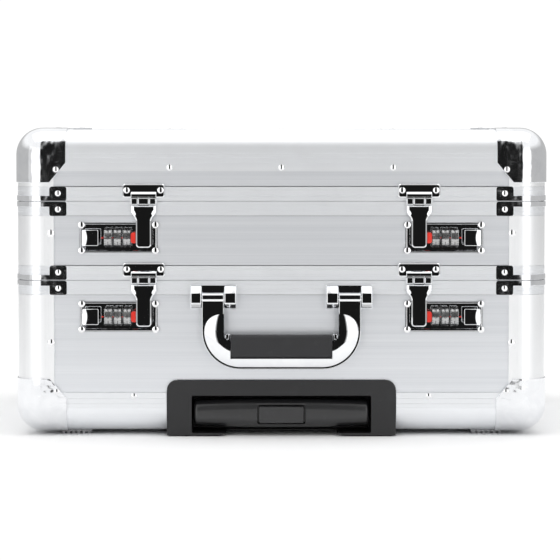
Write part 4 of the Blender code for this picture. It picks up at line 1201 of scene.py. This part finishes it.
def make_locks():
    low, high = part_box("tray_right_lock_case")
    dials = [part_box(f"tray_right_dial_{number}") for number in (1, 2, 3)]
    middles = [(ends[0].x + ends[1].x) / 2 for ends in dials]
    button_low, button_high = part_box("tray_right_lock_button")
    slider_low, slider_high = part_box("tray_right_reset_slider")
    hasp_low, hasp_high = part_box("lid_right_hasp")
    hasp_x = (hasp_low.x + hasp_high.x) / 2
    z = (low.z + high.z) / 2
    deep = 10 * MM
    openings = [box_at(x, low.y, z, (6.7 * MM, deep, 13.2 * MM)) for x in middles]
    button_x = (button_low.x + button_high.x) / 2
    openings.append(box_at(button_x + 1.5 * MM, low.y, z, (9.6 * MM, deep, 7.6 * MM)))
    slider_place = (slider_low + slider_high) / 2
    openings.append(box_at(slider_place.x, low.y, z + 1.0 * MM, (4.8 * MM, deep, 12.0 * MM)))
    openings.append(box_at(hasp_x, low.y, z + 4.0 * MM, (5.2 * MM, deep, 22.0 * MM)))

    rivet = add_rivet(3.0 * MM, 0.42 * MM)
    heads = []
    for sx, edge_x in ((1, low.x), (-1, high.x)):
        for sz, edge_z in ((1, low.z), (-1, high.z)):
            point = (edge_x + sx * 3.9 * MM, LOCK_FACE - 0.25 * MM, edge_z + sz * 4.1 * MM)
            heads.append(copy_of(rivet, "lock_rivets", Matrix.Translation(point)))
    heads = join(heads[0], heads[1:])
    patterns = {
        "lock_case": (add_lock_plate(low, high, openings), CHROME, "chrome"),
        "lock_button": (add_button(button_low, button_high), CHROME, "chrome"),
        "reset_slider": (add_slider(slider_low, slider_high), RED_PLASTIC, "red_plastic"),
        "lock_rivets": (heads, RIVET_STEEL, "polished_steel"),
        "index_marks": (add_index_marks(low, high, middles), RED_PLASTIC, "red_plastic"),
    }
    for number, ends in enumerate(dials, 1):
        patterns[f"dial_{number}"] = (add_dial(*ends), DIAL_METAL, "dial_metal")
        patterns[f"dial_{number}_numerals"] = (add_numerals(*ends), NUMERAL_INK, "black_plastic")
    for tier, seam in (("base", TRAY_SEAM), ("tray", LID_SEAM)):
        for side, sx in SIDES:
            place = Matrix.Translation((0, 0, seam - LID_SEAM)) @ Matrix.Diagonal((sx, 1, 1, 1))
            for part, (pattern, material, slot) in patterns.items():
                place_lock_part(pattern, material, f"{tier}_{side}", part, place)
    discard(rivet)
    discard(*(pattern for pattern, _, _ in patterns.values()))


def place_lock_part(pattern, material, lock, part, place):
    """One lock's copy of a pattern; numbers keep their shape on the mirrored side."""
    tier = lock.split("_")[0]
    if part.endswith("numerals") and place.determinant() < 0:
        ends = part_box("tray_right_" + part[: len("dial_1")])
        middle = (ends[0] + ends[1]) / 2
        keep = Matrix.Translation(middle) @ Matrix.Diagonal((-1, 1, 1, 1)) @ Matrix.Translation(-middle)
        place = place @ keep
    twin = copy_of(pattern, f"{lock}_{part}_piece", place)
    moving = part.startswith("dial") or part in ("lock_button", "reset_slider")
    body = f"{lock}_{part}".replace("_numerals", "") if moving else tier
    finish_piece(twin, material, body, 30)
    if f"{lock}_{part}" in frame["nodes"]:
        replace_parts(twin, f"{lock}_{part}")


# ---------------------------------------------------------------- hasps


def add_knuckle(x, length, y, z):
    """A folded knuckle: flat in front, with small bevels."""
    knuckle = add_block("knuckle", *box_at(x, y, z, (length, 4.8 * MM, 5.6 * MM)))
    soften(knuckle, 0.75 * MM, 3, 50)
    return knuckle


def add_hasp_plate(x, y, z):
    """The riveted plate above a hasp, with the raised bar that carries its outer knuckles."""
    low_z = z + 3.0 * MM
    plate = add_block(
        "hasp_plate",
        (x - 18.3 * MM, FRONT - 1.5 * MM, low_z),
        (x + 18.3 * MM, FRONT - 0.2 * MM, low_z + 12.2 * MM),
    )
    round_edges(plate, along_y, 2.4 * MM, 6)
    raise_face(plate, faces_front, 1.1 * MM, 0.7 * MM)
    soften(plate, 0.15 * MM, 2, 40)
    bar = add_block(
        "bar",
        (x - 10.9 * MM, FRONT - 4.1 * MM, z + 3.5 * MM),
        (x + 10.9 * MM, FRONT - 1.0 * MM, z + 8.4 * MM),
    )
    round_edges(
        bar,
        lambda middle, direction: abs(direction.x) > 0.99
        and middle.z > z + 8 * MM
        and middle.y < FRONT - 4 * MM,
        2.2 * MM,
        1,
    )
    soften(bar, 0.4 * MM, 2, 40)
    parts = [bar]
    for sx in (-1, 1):
        parts.append(add_knuckle(x + sx * 7.9 * MM, 6.0 * MM, y, z))
        web = box_at(x + sx * 7.9 * MM, FRONT - 2.0 * MM, z + 3.2 * MM, (5.6 * MM, 2.4 * MM, 3.0 * MM))
        parts.append(add_block("web", *web))
    pin = add_disc("pin", (x, y, z), 1.1 * MM, 22.6 * MM, "X", 20)
    soften(pin, 0.3 * MM, 2, 50)
    return join(plate, [*parts, pin])


def add_hasp(x, y, z):
    """The hanging leaf: wide shoulders, a narrow tongue with cut corners and a sloped rim."""
    back = FRONT - 1.9 * MM
    front = FRONT - 3.7 * MM
    low = z - 39.9 * MM
    leaf = add_block("hasp", (x - 6.5 * MM, front, low), (x + 6.5 * MM, back, z - 3.6 * MM))
    for height in (-14.8, -10.2):
        cut(leaf, (0, 0, z + height * MM), (0, 0, 1))
    for sx in (-1, 1):
        push(
            leaf,
            lambda place, normal: sx * (place.x - x) > 6 * MM and place.z > z - 10.5 * MM,
            (sx * 4.25 * MM, 0, 0),
        )
    round_edges(leaf, along_y_and(lambda middle: middle.z < low + MM), 2.8 * MM, 4)
    round_edges(leaf, along_y_and(lambda middle: abs(middle.z - z + 12.5 * MM) < 3 * MM), 2.4 * MM, 4)
    raise_face(leaf, faces_front, 1.0 * MM, 0.8 * MM)
    for sx in (-1, 1):
        push(
            leaf,
            lambda place, normal: sx * (place.x - x) > 7.6 * MM
            and place.z > z - 12.5 * MM
            and place.y < front - 0.4 * MM,
            (-sx * 1.7 * MM, 0, 0),
        )
    soften(leaf, 0.2 * MM, 2, 60)
    middle_knuckle = add_knuckle(x, 9.4 * MM, y, z)
    web = add_block("web", *box_at(x, FRONT - 2.9 * MM, z - 3.6 * MM, (8.8 * MM, 1.8 * MM, 3.2 * MM)))
    staple = add_block(
        "staple", (x - 2 * MM, back - MM, z - 37 * MM), (x + 2 * MM, FRONT - 1.0 * MM, z - 30 * MM)
    )
    soften(staple, 0.4 * MM, 2, 50)
    return join(leaf, [middle_knuckle, web, staple])


def make_hasps():
    low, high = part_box("lid_right_hasp")
    x = (low.x + high.x) / 2
    hinge = JOINTS["lid_right_hasp_hinge"]["pos_m"]
    plate = add_hasp_plate(x, hinge[1], hinge[2])
    leaf = add_hasp(x, hinge[1], hinge[2])
    rivet = add_rivet(2.9 * MM, 0.42 * MM)
    heads = []
    for sx in (-1, 1):
        point = (x + sx * 14.6 * MM, FRONT - 2.4 * MM, hinge[2] + 9.6 * MM)
        heads.append(copy_of(rivet, "hasp_rivets", Matrix.Translation(point)))
    heads = join(heads[0], heads[1:])
    for tier, seam in (("tray", TRAY_SEAM), ("lid", LID_SEAM)):
        for side, sx in SIDES:
            place = Matrix.Translation((0, 0, seam - LID_SEAM)) @ Matrix.Diagonal((sx, 1, 1, 1))
            name = f"{tier}_{side}_hasp"
            plate_twin = copy_of(plate, f"{name}_plate_piece", place)
            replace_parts(finish_piece(plate_twin, CHROME, tier, 30), f"{name}_plate")
            leaf_twin = copy_of(leaf, f"{name}_leaf", place)
            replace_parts(finish_piece(leaf_twin, CHROME, name, 30), name)
            finish_piece(copy_of(heads, f"{name}_rivets", place), RIVET_STEEL, tier, 50)
    discard(plate, leaf, rivet, heads)


# ---------------------------------------------------------------- carry handle

PIVOT = Vector(JOINTS["carry_handle_hinge"]["pos_m"])
BAIL_OUTER = 68.3 * MM
BAIL_INNER = 49.5 * MM
BOW_ROUND = 33 * MM


def add_bracket():
    """The right bracket: a plate and two faceted ears for the handle's pin."""
    low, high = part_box("handle_bracket_right")
    plate = add_block("handle_bracket", (low.x, FRONT - 2.2 * MM, low.z), (high.x, FRONT - 0.2 * MM, high.z))
    soften(plate, 0.9 * MM, 3, 50)
    ears = []
    ear_ends = (low.x + 0.5 * MM, BAIL_INNER - 0.4 * MM), (BAIL_OUTER + 0.4 * MM, high.x - 0.5 * MM)
    for ear_low, ear_high in ear_ends:
        ear = add_block("ear", (ear_low, low.y, low.z + MM), (ear_high, FRONT - MM, high.z - 0.5 * MM))
        cut(ear, (0, low.y, PIVOT.z + 4.3 * MM), (0, -7.0, 8.6), drop=True, fill=True)
        cut(ear, (0, low.y, PIVOT.z - 4.3 * MM), (0, -3.4, -9.0), drop=True, fill=True)
        soften(ear, 0.9 * MM, 3, 25)
        ears.append(ear)
    pin = add_disc("pin", (58.5 * MM, PIVOT.y, PIVOT.z), 2.0 * MM, 24 * MM, "X", 24)
    return join(plate, [*ears, pin])


def add_opening():
    """The space inside the handle, wider above its grip."""
    grip_low, grip_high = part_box("carry_grip")
    gap = 0.4 * MM
    seat = add_block("seat", (grip_low.x - gap, -0.3, grip_low.z - gap), (grip_high.x + gap, -0.1, 0.3))
    space = add_block("space", (-BAIL_INNER, -0.3, grip_high.z - 4.5 * MM), (BAIL_INNER, -0.1, 0.3))
    round_edges(space, along_y_and(lambda middle: middle.z < 0.2), 5 * MM, 6)
    return [seat, space]


def make_bail():
    """The handle's flat bow, with a domed skin over its lower corners, and an eye on each arm."""
    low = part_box("carry_handle")[0]
    front = PIVOT.y - 4.9 * MM
    bow = add_block(
        "carry_bow", (-BAIL_OUTER, front, low.z), (BAIL_OUTER, PIVOT.y + 4 * MM, PIVOT.z - 2 * MM)
    )
    round_edges(bow, along_y_and(lambda middle: middle.z < low.z + MM), BOW_ROUND, 18)
    cut_out(bow, add_opening())
    soften(bow, 0.7 * MM, 3, 50)

    edge = BAIL_OUTER - 0.15 * MM
    dome = add_block("dome", (-edge, -0.02, low.z + 0.15 * MM), (edge, 0.02, PIVOT.z - 11.5 * MM))
    round_edges(dome, along_y_and(lambda middle: middle.z < low.z + MM), BOW_ROUND, 18)
    round_edges(dome, along_y_and(lambda middle: middle.z > PIVOT.z - 12 * MM), 16 * MM, 14)
    round_edges(dome, lambda middle, direction: middle.y < -0.019 and abs(direction.y) < 0.01, 15 * MM, 12)
    to_front = Matrix.Translation((0, front - 2.2 * MM, 0))
    flatter = Matrix.Diagonal((1, 0.28, 1, 1))
    dome.data.transform(to_front @ flatter @ Matrix.Translation((0, 0.02, 0)))
    cut_out(dome, add_opening(), "MANIFOLD")
    soften(dome, 0.5 * MM, 2, 60)
    eyes = []
    for sx in (-1, 1):
        x = sx * (BAIL_INNER + BAIL_OUTER) / 2
        eye = add_disc("eye", (x, PIVOT.y, PIVOT.z), 5.2 * MM, BAIL_OUTER - BAIL_INNER, "X", 48)
        soften(eye, 0.6 * MM, 3, 50)
        step_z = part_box("carry_grip")[1].z - 1.8 * MM
        step = add_block("step", *box_at(sx * 46.6 * MM, PIVOT.y, step_z, (4.4 * MM, 5 * MM, 5.4 * MM)))
        soften(step, 1.1 * MM, 3, 50)
        eyes += [eye, step]
    join(bow, [dome, *eyes])
    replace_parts(finish_piece(bow, CHROME, "carry_handle", 30), "carry_handle")


def make_carry_handle():
    bracket = add_bracket()
    for side, sx in SIDES:
        piece = copy_of(bracket, f"carry_bracket_{side}", Matrix.Diagonal((sx, 1, 1, 1)))
        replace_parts(finish_piece(piece, CHROME, "base", 30), f"handle_bracket_{side}")
    discard(bracket)
    make_bail()
    low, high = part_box("carry_grip")
    grip = add_block("carry_grip_sleeve", low, high)
    round_edges(grip, along_x, 3.2 * MM, 6)
    soften(grip, 0.7 * MM, 2, 60)
    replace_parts(finish_piece(grip, GRIP_PLASTIC, "carry_handle", 30), "carry_grip")


# ---------------------------------------------------------------- telescopic handle

POCKET_HALF = 21.0 * MM


def make_trolley_housing():
    """The housing's surround with its recess and tube holes, and the sheets behind its round corners."""
    low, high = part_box("trolley_housing")
    housing = add_block("trolley_surround", low, high)
    round_edges(housing, along_y_and(lambda middle: middle.z > high.z - MM), 8.5 * MM, 10)
    before = low.y - 0.01
    recess_low = FLOOR - 1.2 * MM
    recess = add_block(
        "recess", (-77.6 * MM, before, recess_low), (77.6 * MM, FRONT + 44 * MM, FLOOR + 31.3 * MM)
    )
    round_edges(recess, along_y, 1.5 * MM, 3)
    fingers = add_block(
        "fingers", (-44 * MM, before, low.z - 0.01), (44 * MM, FRONT + 36 * MM, recess_low + 2 * MM)
    )
    for sx in (-1, 1):
        push(fingers, lambda place, normal: sx * place.x > 0 and place.z < low.z, (sx * 30 * MM, 0, 0))
    cutters = [recess, fingers]
    middle_low, middle_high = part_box("trolley_middle_tubes")
    for sx in (-1, 1):
        tube = box_at(sx * 65 * MM, high.y, (middle_low.z + middle_high.z) / 2, (20 * MM, 20 * MM, 10.5 * MM))
        cutters.append(add_block("tube_hole", *tube))
    cut_out(housing, cutters)
    soften(housing, 0.6 * MM, 2, 50)
    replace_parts(finish_piece(housing, HOUSING_PLASTIC, "base", 30), "trolley_housing")
    for side, sx in SIDES:
        ends = sorted((sx * (high.x - 9 * MM), sx * (high.x + 0.4 * MM)))
        sheet = add_block(
            f"housing_corner_{side}",
            (ends[0], FRONT + 1.6 * MM, high.z - 9 * MM),
            (ends[1], FRONT + 3.2 * MM, high.z + 0.4 * MM),
        )
        soften(sheet, 0.1 * MM, 1, 50)
        finish_piece(sheet, PANEL, "base", 40)


def make_pull_grip():
    """The bowed pull grip, with its pocket for the button."""
    low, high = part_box("trolley_grip")
    key_low, key_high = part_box("trolley_button")
    middle_z = (low.z + high.z) / 2
    grip = add_block("pull_grip", low, high)
    round_edges(
        grip, lambda middle, direction: abs(direction.x) > 0.99 and middle.y < low.y + MM, 8.5 * MM, 8
    )
    ends = high.x - low.x
    steps = 16
    for step in range(1, steps):
        cut(grip, (low.x + ends * step / steps, 0, 0), (1, 0, 0))
    for step in range(steps + 1):
        x = low.x + ends * step / steps
        fall = 1.7 * MM * abs(2 * step / steps - 1) ** 2.2
        for upper in (1, -1):
            push(
                grip,
                lambda place, normal: abs(place.x - x) < 0.1 * MM and upper * (place.z - middle_z) > 3 * MM,
                (0, 0, -upper * fall),
            )
    round_edges(grip, lambda middle, direction: abs(middle.x) > high.x - 0.1 * MM, 2.6 * MM, 5)
    before = low.y - 0.01
    pocket = add_block(
        "pocket",
        (-POCKET_HALF, before, key_low.z - 0.5 * MM),
        (POCKET_HALF, FRONT + 11 * MM, key_high.z + 0.5 * MM),
    )
    round_edges(pocket, along_y, 2.0 * MM, 4)
    ledge = add_block(
        "ledge", (-POCKET_HALF, before, key_high.z), (POCKET_HALF, low.y + 1.6 * MM, key_high.z + 3.4 * MM)
    )
    bar_low, bar_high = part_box("trolley_inner_tubes")
    gap = 0.4 * MM
    groove = add_block(
        "groove",
        (bar_low.x - gap, high.y - 7.8 * MM, bar_low.z - gap),
        (bar_high.x + gap, high.y + 0.01, bar_high.z + gap),
    )
    cut_out(grip, [pocket, ledge, groove])
    soften(grip, 0.3 * MM, 2, 60)
    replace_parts(finish_piece(grip, PULL_PLASTIC, "trolley_inner", 30), "trolley_grip")

    key_half = 19.4 * MM
    key = add_block(
        "pull_button",
        (-key_half, key_low.y, key_low.z + 0.6 * MM),
        (key_half, key_high.y, key_high.z - 0.9 * MM),
    )
    round_edges(key, along_y, 1.6 * MM, 4)
    soften(key, 0.9 * MM, 3, 50)
    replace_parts(finish_piece(key, PULL_PLASTIC, "trolley_button", 30), "trolley_button")


# ---------------------------------------------------------------- wheels, feet and rear hinges

HINGE_X = 130 * MM


def add_wheel():
    """The right wheel's tyre, with two grooves round it and a sunk side."""
    low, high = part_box("wheel_right")
    middle = (low + high) / 2
    radius = (high.z - low.z) / 2
    tyre = add_disc("tyre", middle, radius, high.x - low.x, "X", 64)
    for side in (-1, 1):
        raise_face(tyre, lambda place, normal: normal.x * side > 0.9, 8.5 * MM, 0.0, (side, 0, 0))
        raise_face(
            tyre,
            lambda place, normal: normal.x * side > 0.9 and (place - middle).yz.length < MM,
            0.8 * MM,
            -3 * MM,
            (side, 0, 0),
        )
    round_edges(
        tyre,
        lambda place, direction: (place - middle).yz.length > radius - 0.2 * MM and abs(direction.x) < 0.1,
        2.5 * MM,
        4,
    )
    for line in (-3.2, 3.2):
        for edge in (line - 0.6, line + 0.6):
            cut(tyre, (middle.x + edge * MM, 0, 0), (1, 0, 0))
        press(
            tyre,
            lambda place, normal: abs(place.x - middle.x - line * MM) < 0.5 * MM and abs(normal.x) < 0.1,
            1.0 * MM,
        )
    hub = add_disc("hub", middle, 13 * MM, high.x - low.x - 3.4 * MM, "X", 48)
    for side in (-1, 1):
        raise_face(hub, lambda place, normal: normal.x * side > 0.9, 2.0 * MM, -1.6 * MM, (side, 0, 0))
    holes = []
    for number in range(5):
        size = (30 * MM, 4.6 * MM, 3.6 * MM)
        hole = add_block("hole", *box_at(middle.x, middle.y, middle.z + 7.6 * MM, size))
        round_edges(hole, along_x, 1.5 * MM, 3)
        turn = Matrix.Rotation(math.tau * number / 5, 4, "X")
        hole.data.transform(Matrix.Translation(middle) @ turn @ Matrix.Translation(-middle))
        holes.append(hole)
    cut_out(hub, holes)
    soften(hub, 0.3 * MM, 2, 50)
    cap = add_disc("cap", middle, 4.5 * MM, high.x - low.x - 1.6 * MM, "X", 32)
    soften(cap, 0.8 * MM, 3, 50)
    return tyre, join(hub, [cap])


def make_wheels():
    tyre, hub = add_wheel()
    for side, sx in SIDES:
        mirror = Matrix.Diagonal((sx, 1, 1, 1))
        wheel = f"wheel_{side}"
        tyre_twin = copy_of(tyre, f"tyre_{side}", mirror)
        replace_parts(finish_piece(tyre_twin, TYRE_RUBBER, wheel, 40), wheel)
        hub_twin = copy_of(hub, f"wheel_hub_{side}", mirror)
        finish_piece(hub_twin, FOOT_PLASTIC, wheel, 40)
    discard(tyre, hub)


def make_base_feet():
    low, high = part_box("base_foot_right")
    foot = add_block("foot", (low.x, low.y, low.z + 1.6 * MM), high)
    ribs = []
    for number in range(6):
        x = low.x + (1.6 + 4.46 * number) * MM
        rib = add_block(
            "rib", (x, low.y + 0.6 * MM, low.z), (x + 2.4 * MM, high.y - 0.6 * MM, low.z + 2 * MM)
        )
        ribs.append(rib)
    join(foot, ribs)
    soften(foot, 0.35 * MM, 2, 50)
    for side, sx in SIDES:
        piece = copy_of(foot, f"ribbed_foot_{side}", Matrix.Diagonal((sx, 1, 1, 1)))
        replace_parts(finish_piece(piece, FOOT_PLASTIC, "base", 40), f"base_foot_{side}")
    discard(foot)


def make_lid_feet():
    """The two round feet behind the lid, which the case rests on when it stands up."""
    for side, sx in SIDES:
        let_go()
        middle = (sx * 150 * MM, BACK + 12.5 * MM, FLOOR + 229 * MM)
        bpy.ops.mesh.primitive_cone_add(
            vertices=48,
            radius1=10 * MM,
            radius2=7.5 * MM,
            depth=25 * MM,
            location=middle,
            rotation=(-math.pi / 2, 0, 0),
        )
        foot = settle(f"rear_foot_{side}")
        soften(foot, 1.4 * MM, 4, 50)
        flange = add_disc("flange", (middle[0], BACK + 1.2 * MM, middle[2]), 12.5 * MM, 2.4 * MM, "Y", 48)
        soften(flange, 0.7 * MM, 3, 50)
        join(foot, [flange])
        finish_piece(foot, FOOT_PLASTIC, "lid", 40)


def add_hinge_half(name, seam, up, knuckles):
    """A hinge leaf at the right, with its knuckles, on one side of a seam."""
    y = JOINTS["tray_hinge"]["pos_m"][1]
    x = HINGE_X
    ends = sorted((seam + up * 1.2 * MM, seam + up * 15 * MM))
    leaf = add_block(name, (x - 30 * MM, BACK + 0.1 * MM, ends[0]), (x + 30 * MM, BACK + 1.5 * MM, ends[1]))
    round_edges(leaf, along_y_and(lambda middle: up * (middle.z - seam) > 10 * MM), 3 * MM, 4)
    soften(leaf, 0.35 * MM, 2, 50)
    parts = []
    for number in knuckles:
        knuckle_x = x + (number - 2) * 12 * MM
        knuckle = add_disc("knuckle", (knuckle_x, y, seam), 3 * MM, 11.6 * MM, "X", 28)
        soften(knuckle, 0.4 * MM, 2, 50)
        web = box_at(knuckle_x, BACK + 1.1 * MM, seam + up * 1.6 * MM, (11.2 * MM, 1.4 * MM, 3.0 * MM))
        parts += [knuckle, add_block("web", *web)]
    return join(leaf, parts)


def make_rear_hinges():
    """Two hinges at each seam, whose halves ride on the tiers below and above it."""
    rivet = add_rivet(2.6 * MM, 0.9 * MM)
    seams = (("tray", TRAY_SEAM, "base", "tray"), ("lid", LID_SEAM, "tray", "lid"))
    for name, seam, below, above in seams:
        for body, up, knuckles in ((below, -1, (0, 2, 4)), (above, 1, (1, 3))):
            half = add_hinge_half("hinge_leaf", seam, up, knuckles)
            for side, sx in SIDES:
                piece = copy_of(half, f"{name}_hinge_{body}_leaf_{side}", Matrix.Diagonal((sx, 1, 1, 1)))
                finish_piece(piece, STAMPED, body, 30)
                heads = []
                for offset in (-20, 0, 20):
                    x = sx * HINGE_X + offset * MM
                    heads.append(((x, BACK + 1.4 * MM, seam + up * 9 * MM), "back"))
                set_rivets(f"{name}_hinge_{body}_rivets_{side}", body, rivet, heads)
            discard(half)
    discard(rivet)


# ---------------------------------------------------------------- linings


def make_linings():
    """A flocked board on the floor of the base and the tray, and one under the lid."""
    boards = (
        ("base", (-0.212, -0.131, 0.0251), (0.212, 0.120, 0.0265)),
        ("tray", (-0.214, -0.163, 0.1523), (0.214, 0.157, 0.1536)),
        ("lid", (-0.209, -0.161, 0.2572), (0.209, 0.152, 0.2585)),
    )
    for body, low, high in boards:
        board = add_block(f"{body}_lining_board", low, high)
        round_edges(board, upright, 4 * MM, 5)
        soften(board, 0.4 * MM, 2, 50)
        finish_piece(board, LINING, body, 40)


# ---------------------------------------------------------------- hardware and linings, in order

make_locks()
make_hasps()
make_carry_handle()
make_trolley_housing()
make_pull_grip()
make_wheels()
make_base_feet()
make_lid_feet()
make_rear_hinges()
make_linings()


# ---------------------------------------------------------------- CAD nodes that stay


def dress_frame_nodes():
    """Every frame node gets a finish; the bare edges of those that stay in view are softened."""
    finishes = {
        "brushed_aluminium": PANEL,
        "aluminium_extrusion": RING_METAL,
        "chrome": CHROME,
        "polished_steel": TUBE_STEEL,
        "black_plastic": HOUSING_PLASTIC,
        "grip_plastic": GRIP_PLASTIC,
        "dial_metal": DIAL_METAL,
        "red_plastic": RED_PLASTIC,
        "foot_plastic": FOOT_PLASTIC,
        "wheel_rubber": TYRE_RUBBER,
    }
    for part in frame["record"]["subparts"]:
        materials = frame["nodes"][part["node"]].data.materials
        materials.clear()
        materials.append(finishes[part["material_slot"]])
    stages = [f"trolley_{stage}_tubes" for stage in ("outer", "middle", "inner")]
    for name in (*stages, "wheel_housing_left", "wheel_housing_right"):
        edge = frame["nodes"][name].modifiers.new("soft edge", "BEVEL")
        edge.width = 0.35 * MM
        edge.segments = 2
        edge.limit_method = "ANGLE"
        edge.angle_limit = math.radians(50)


dress_frame_nodes()
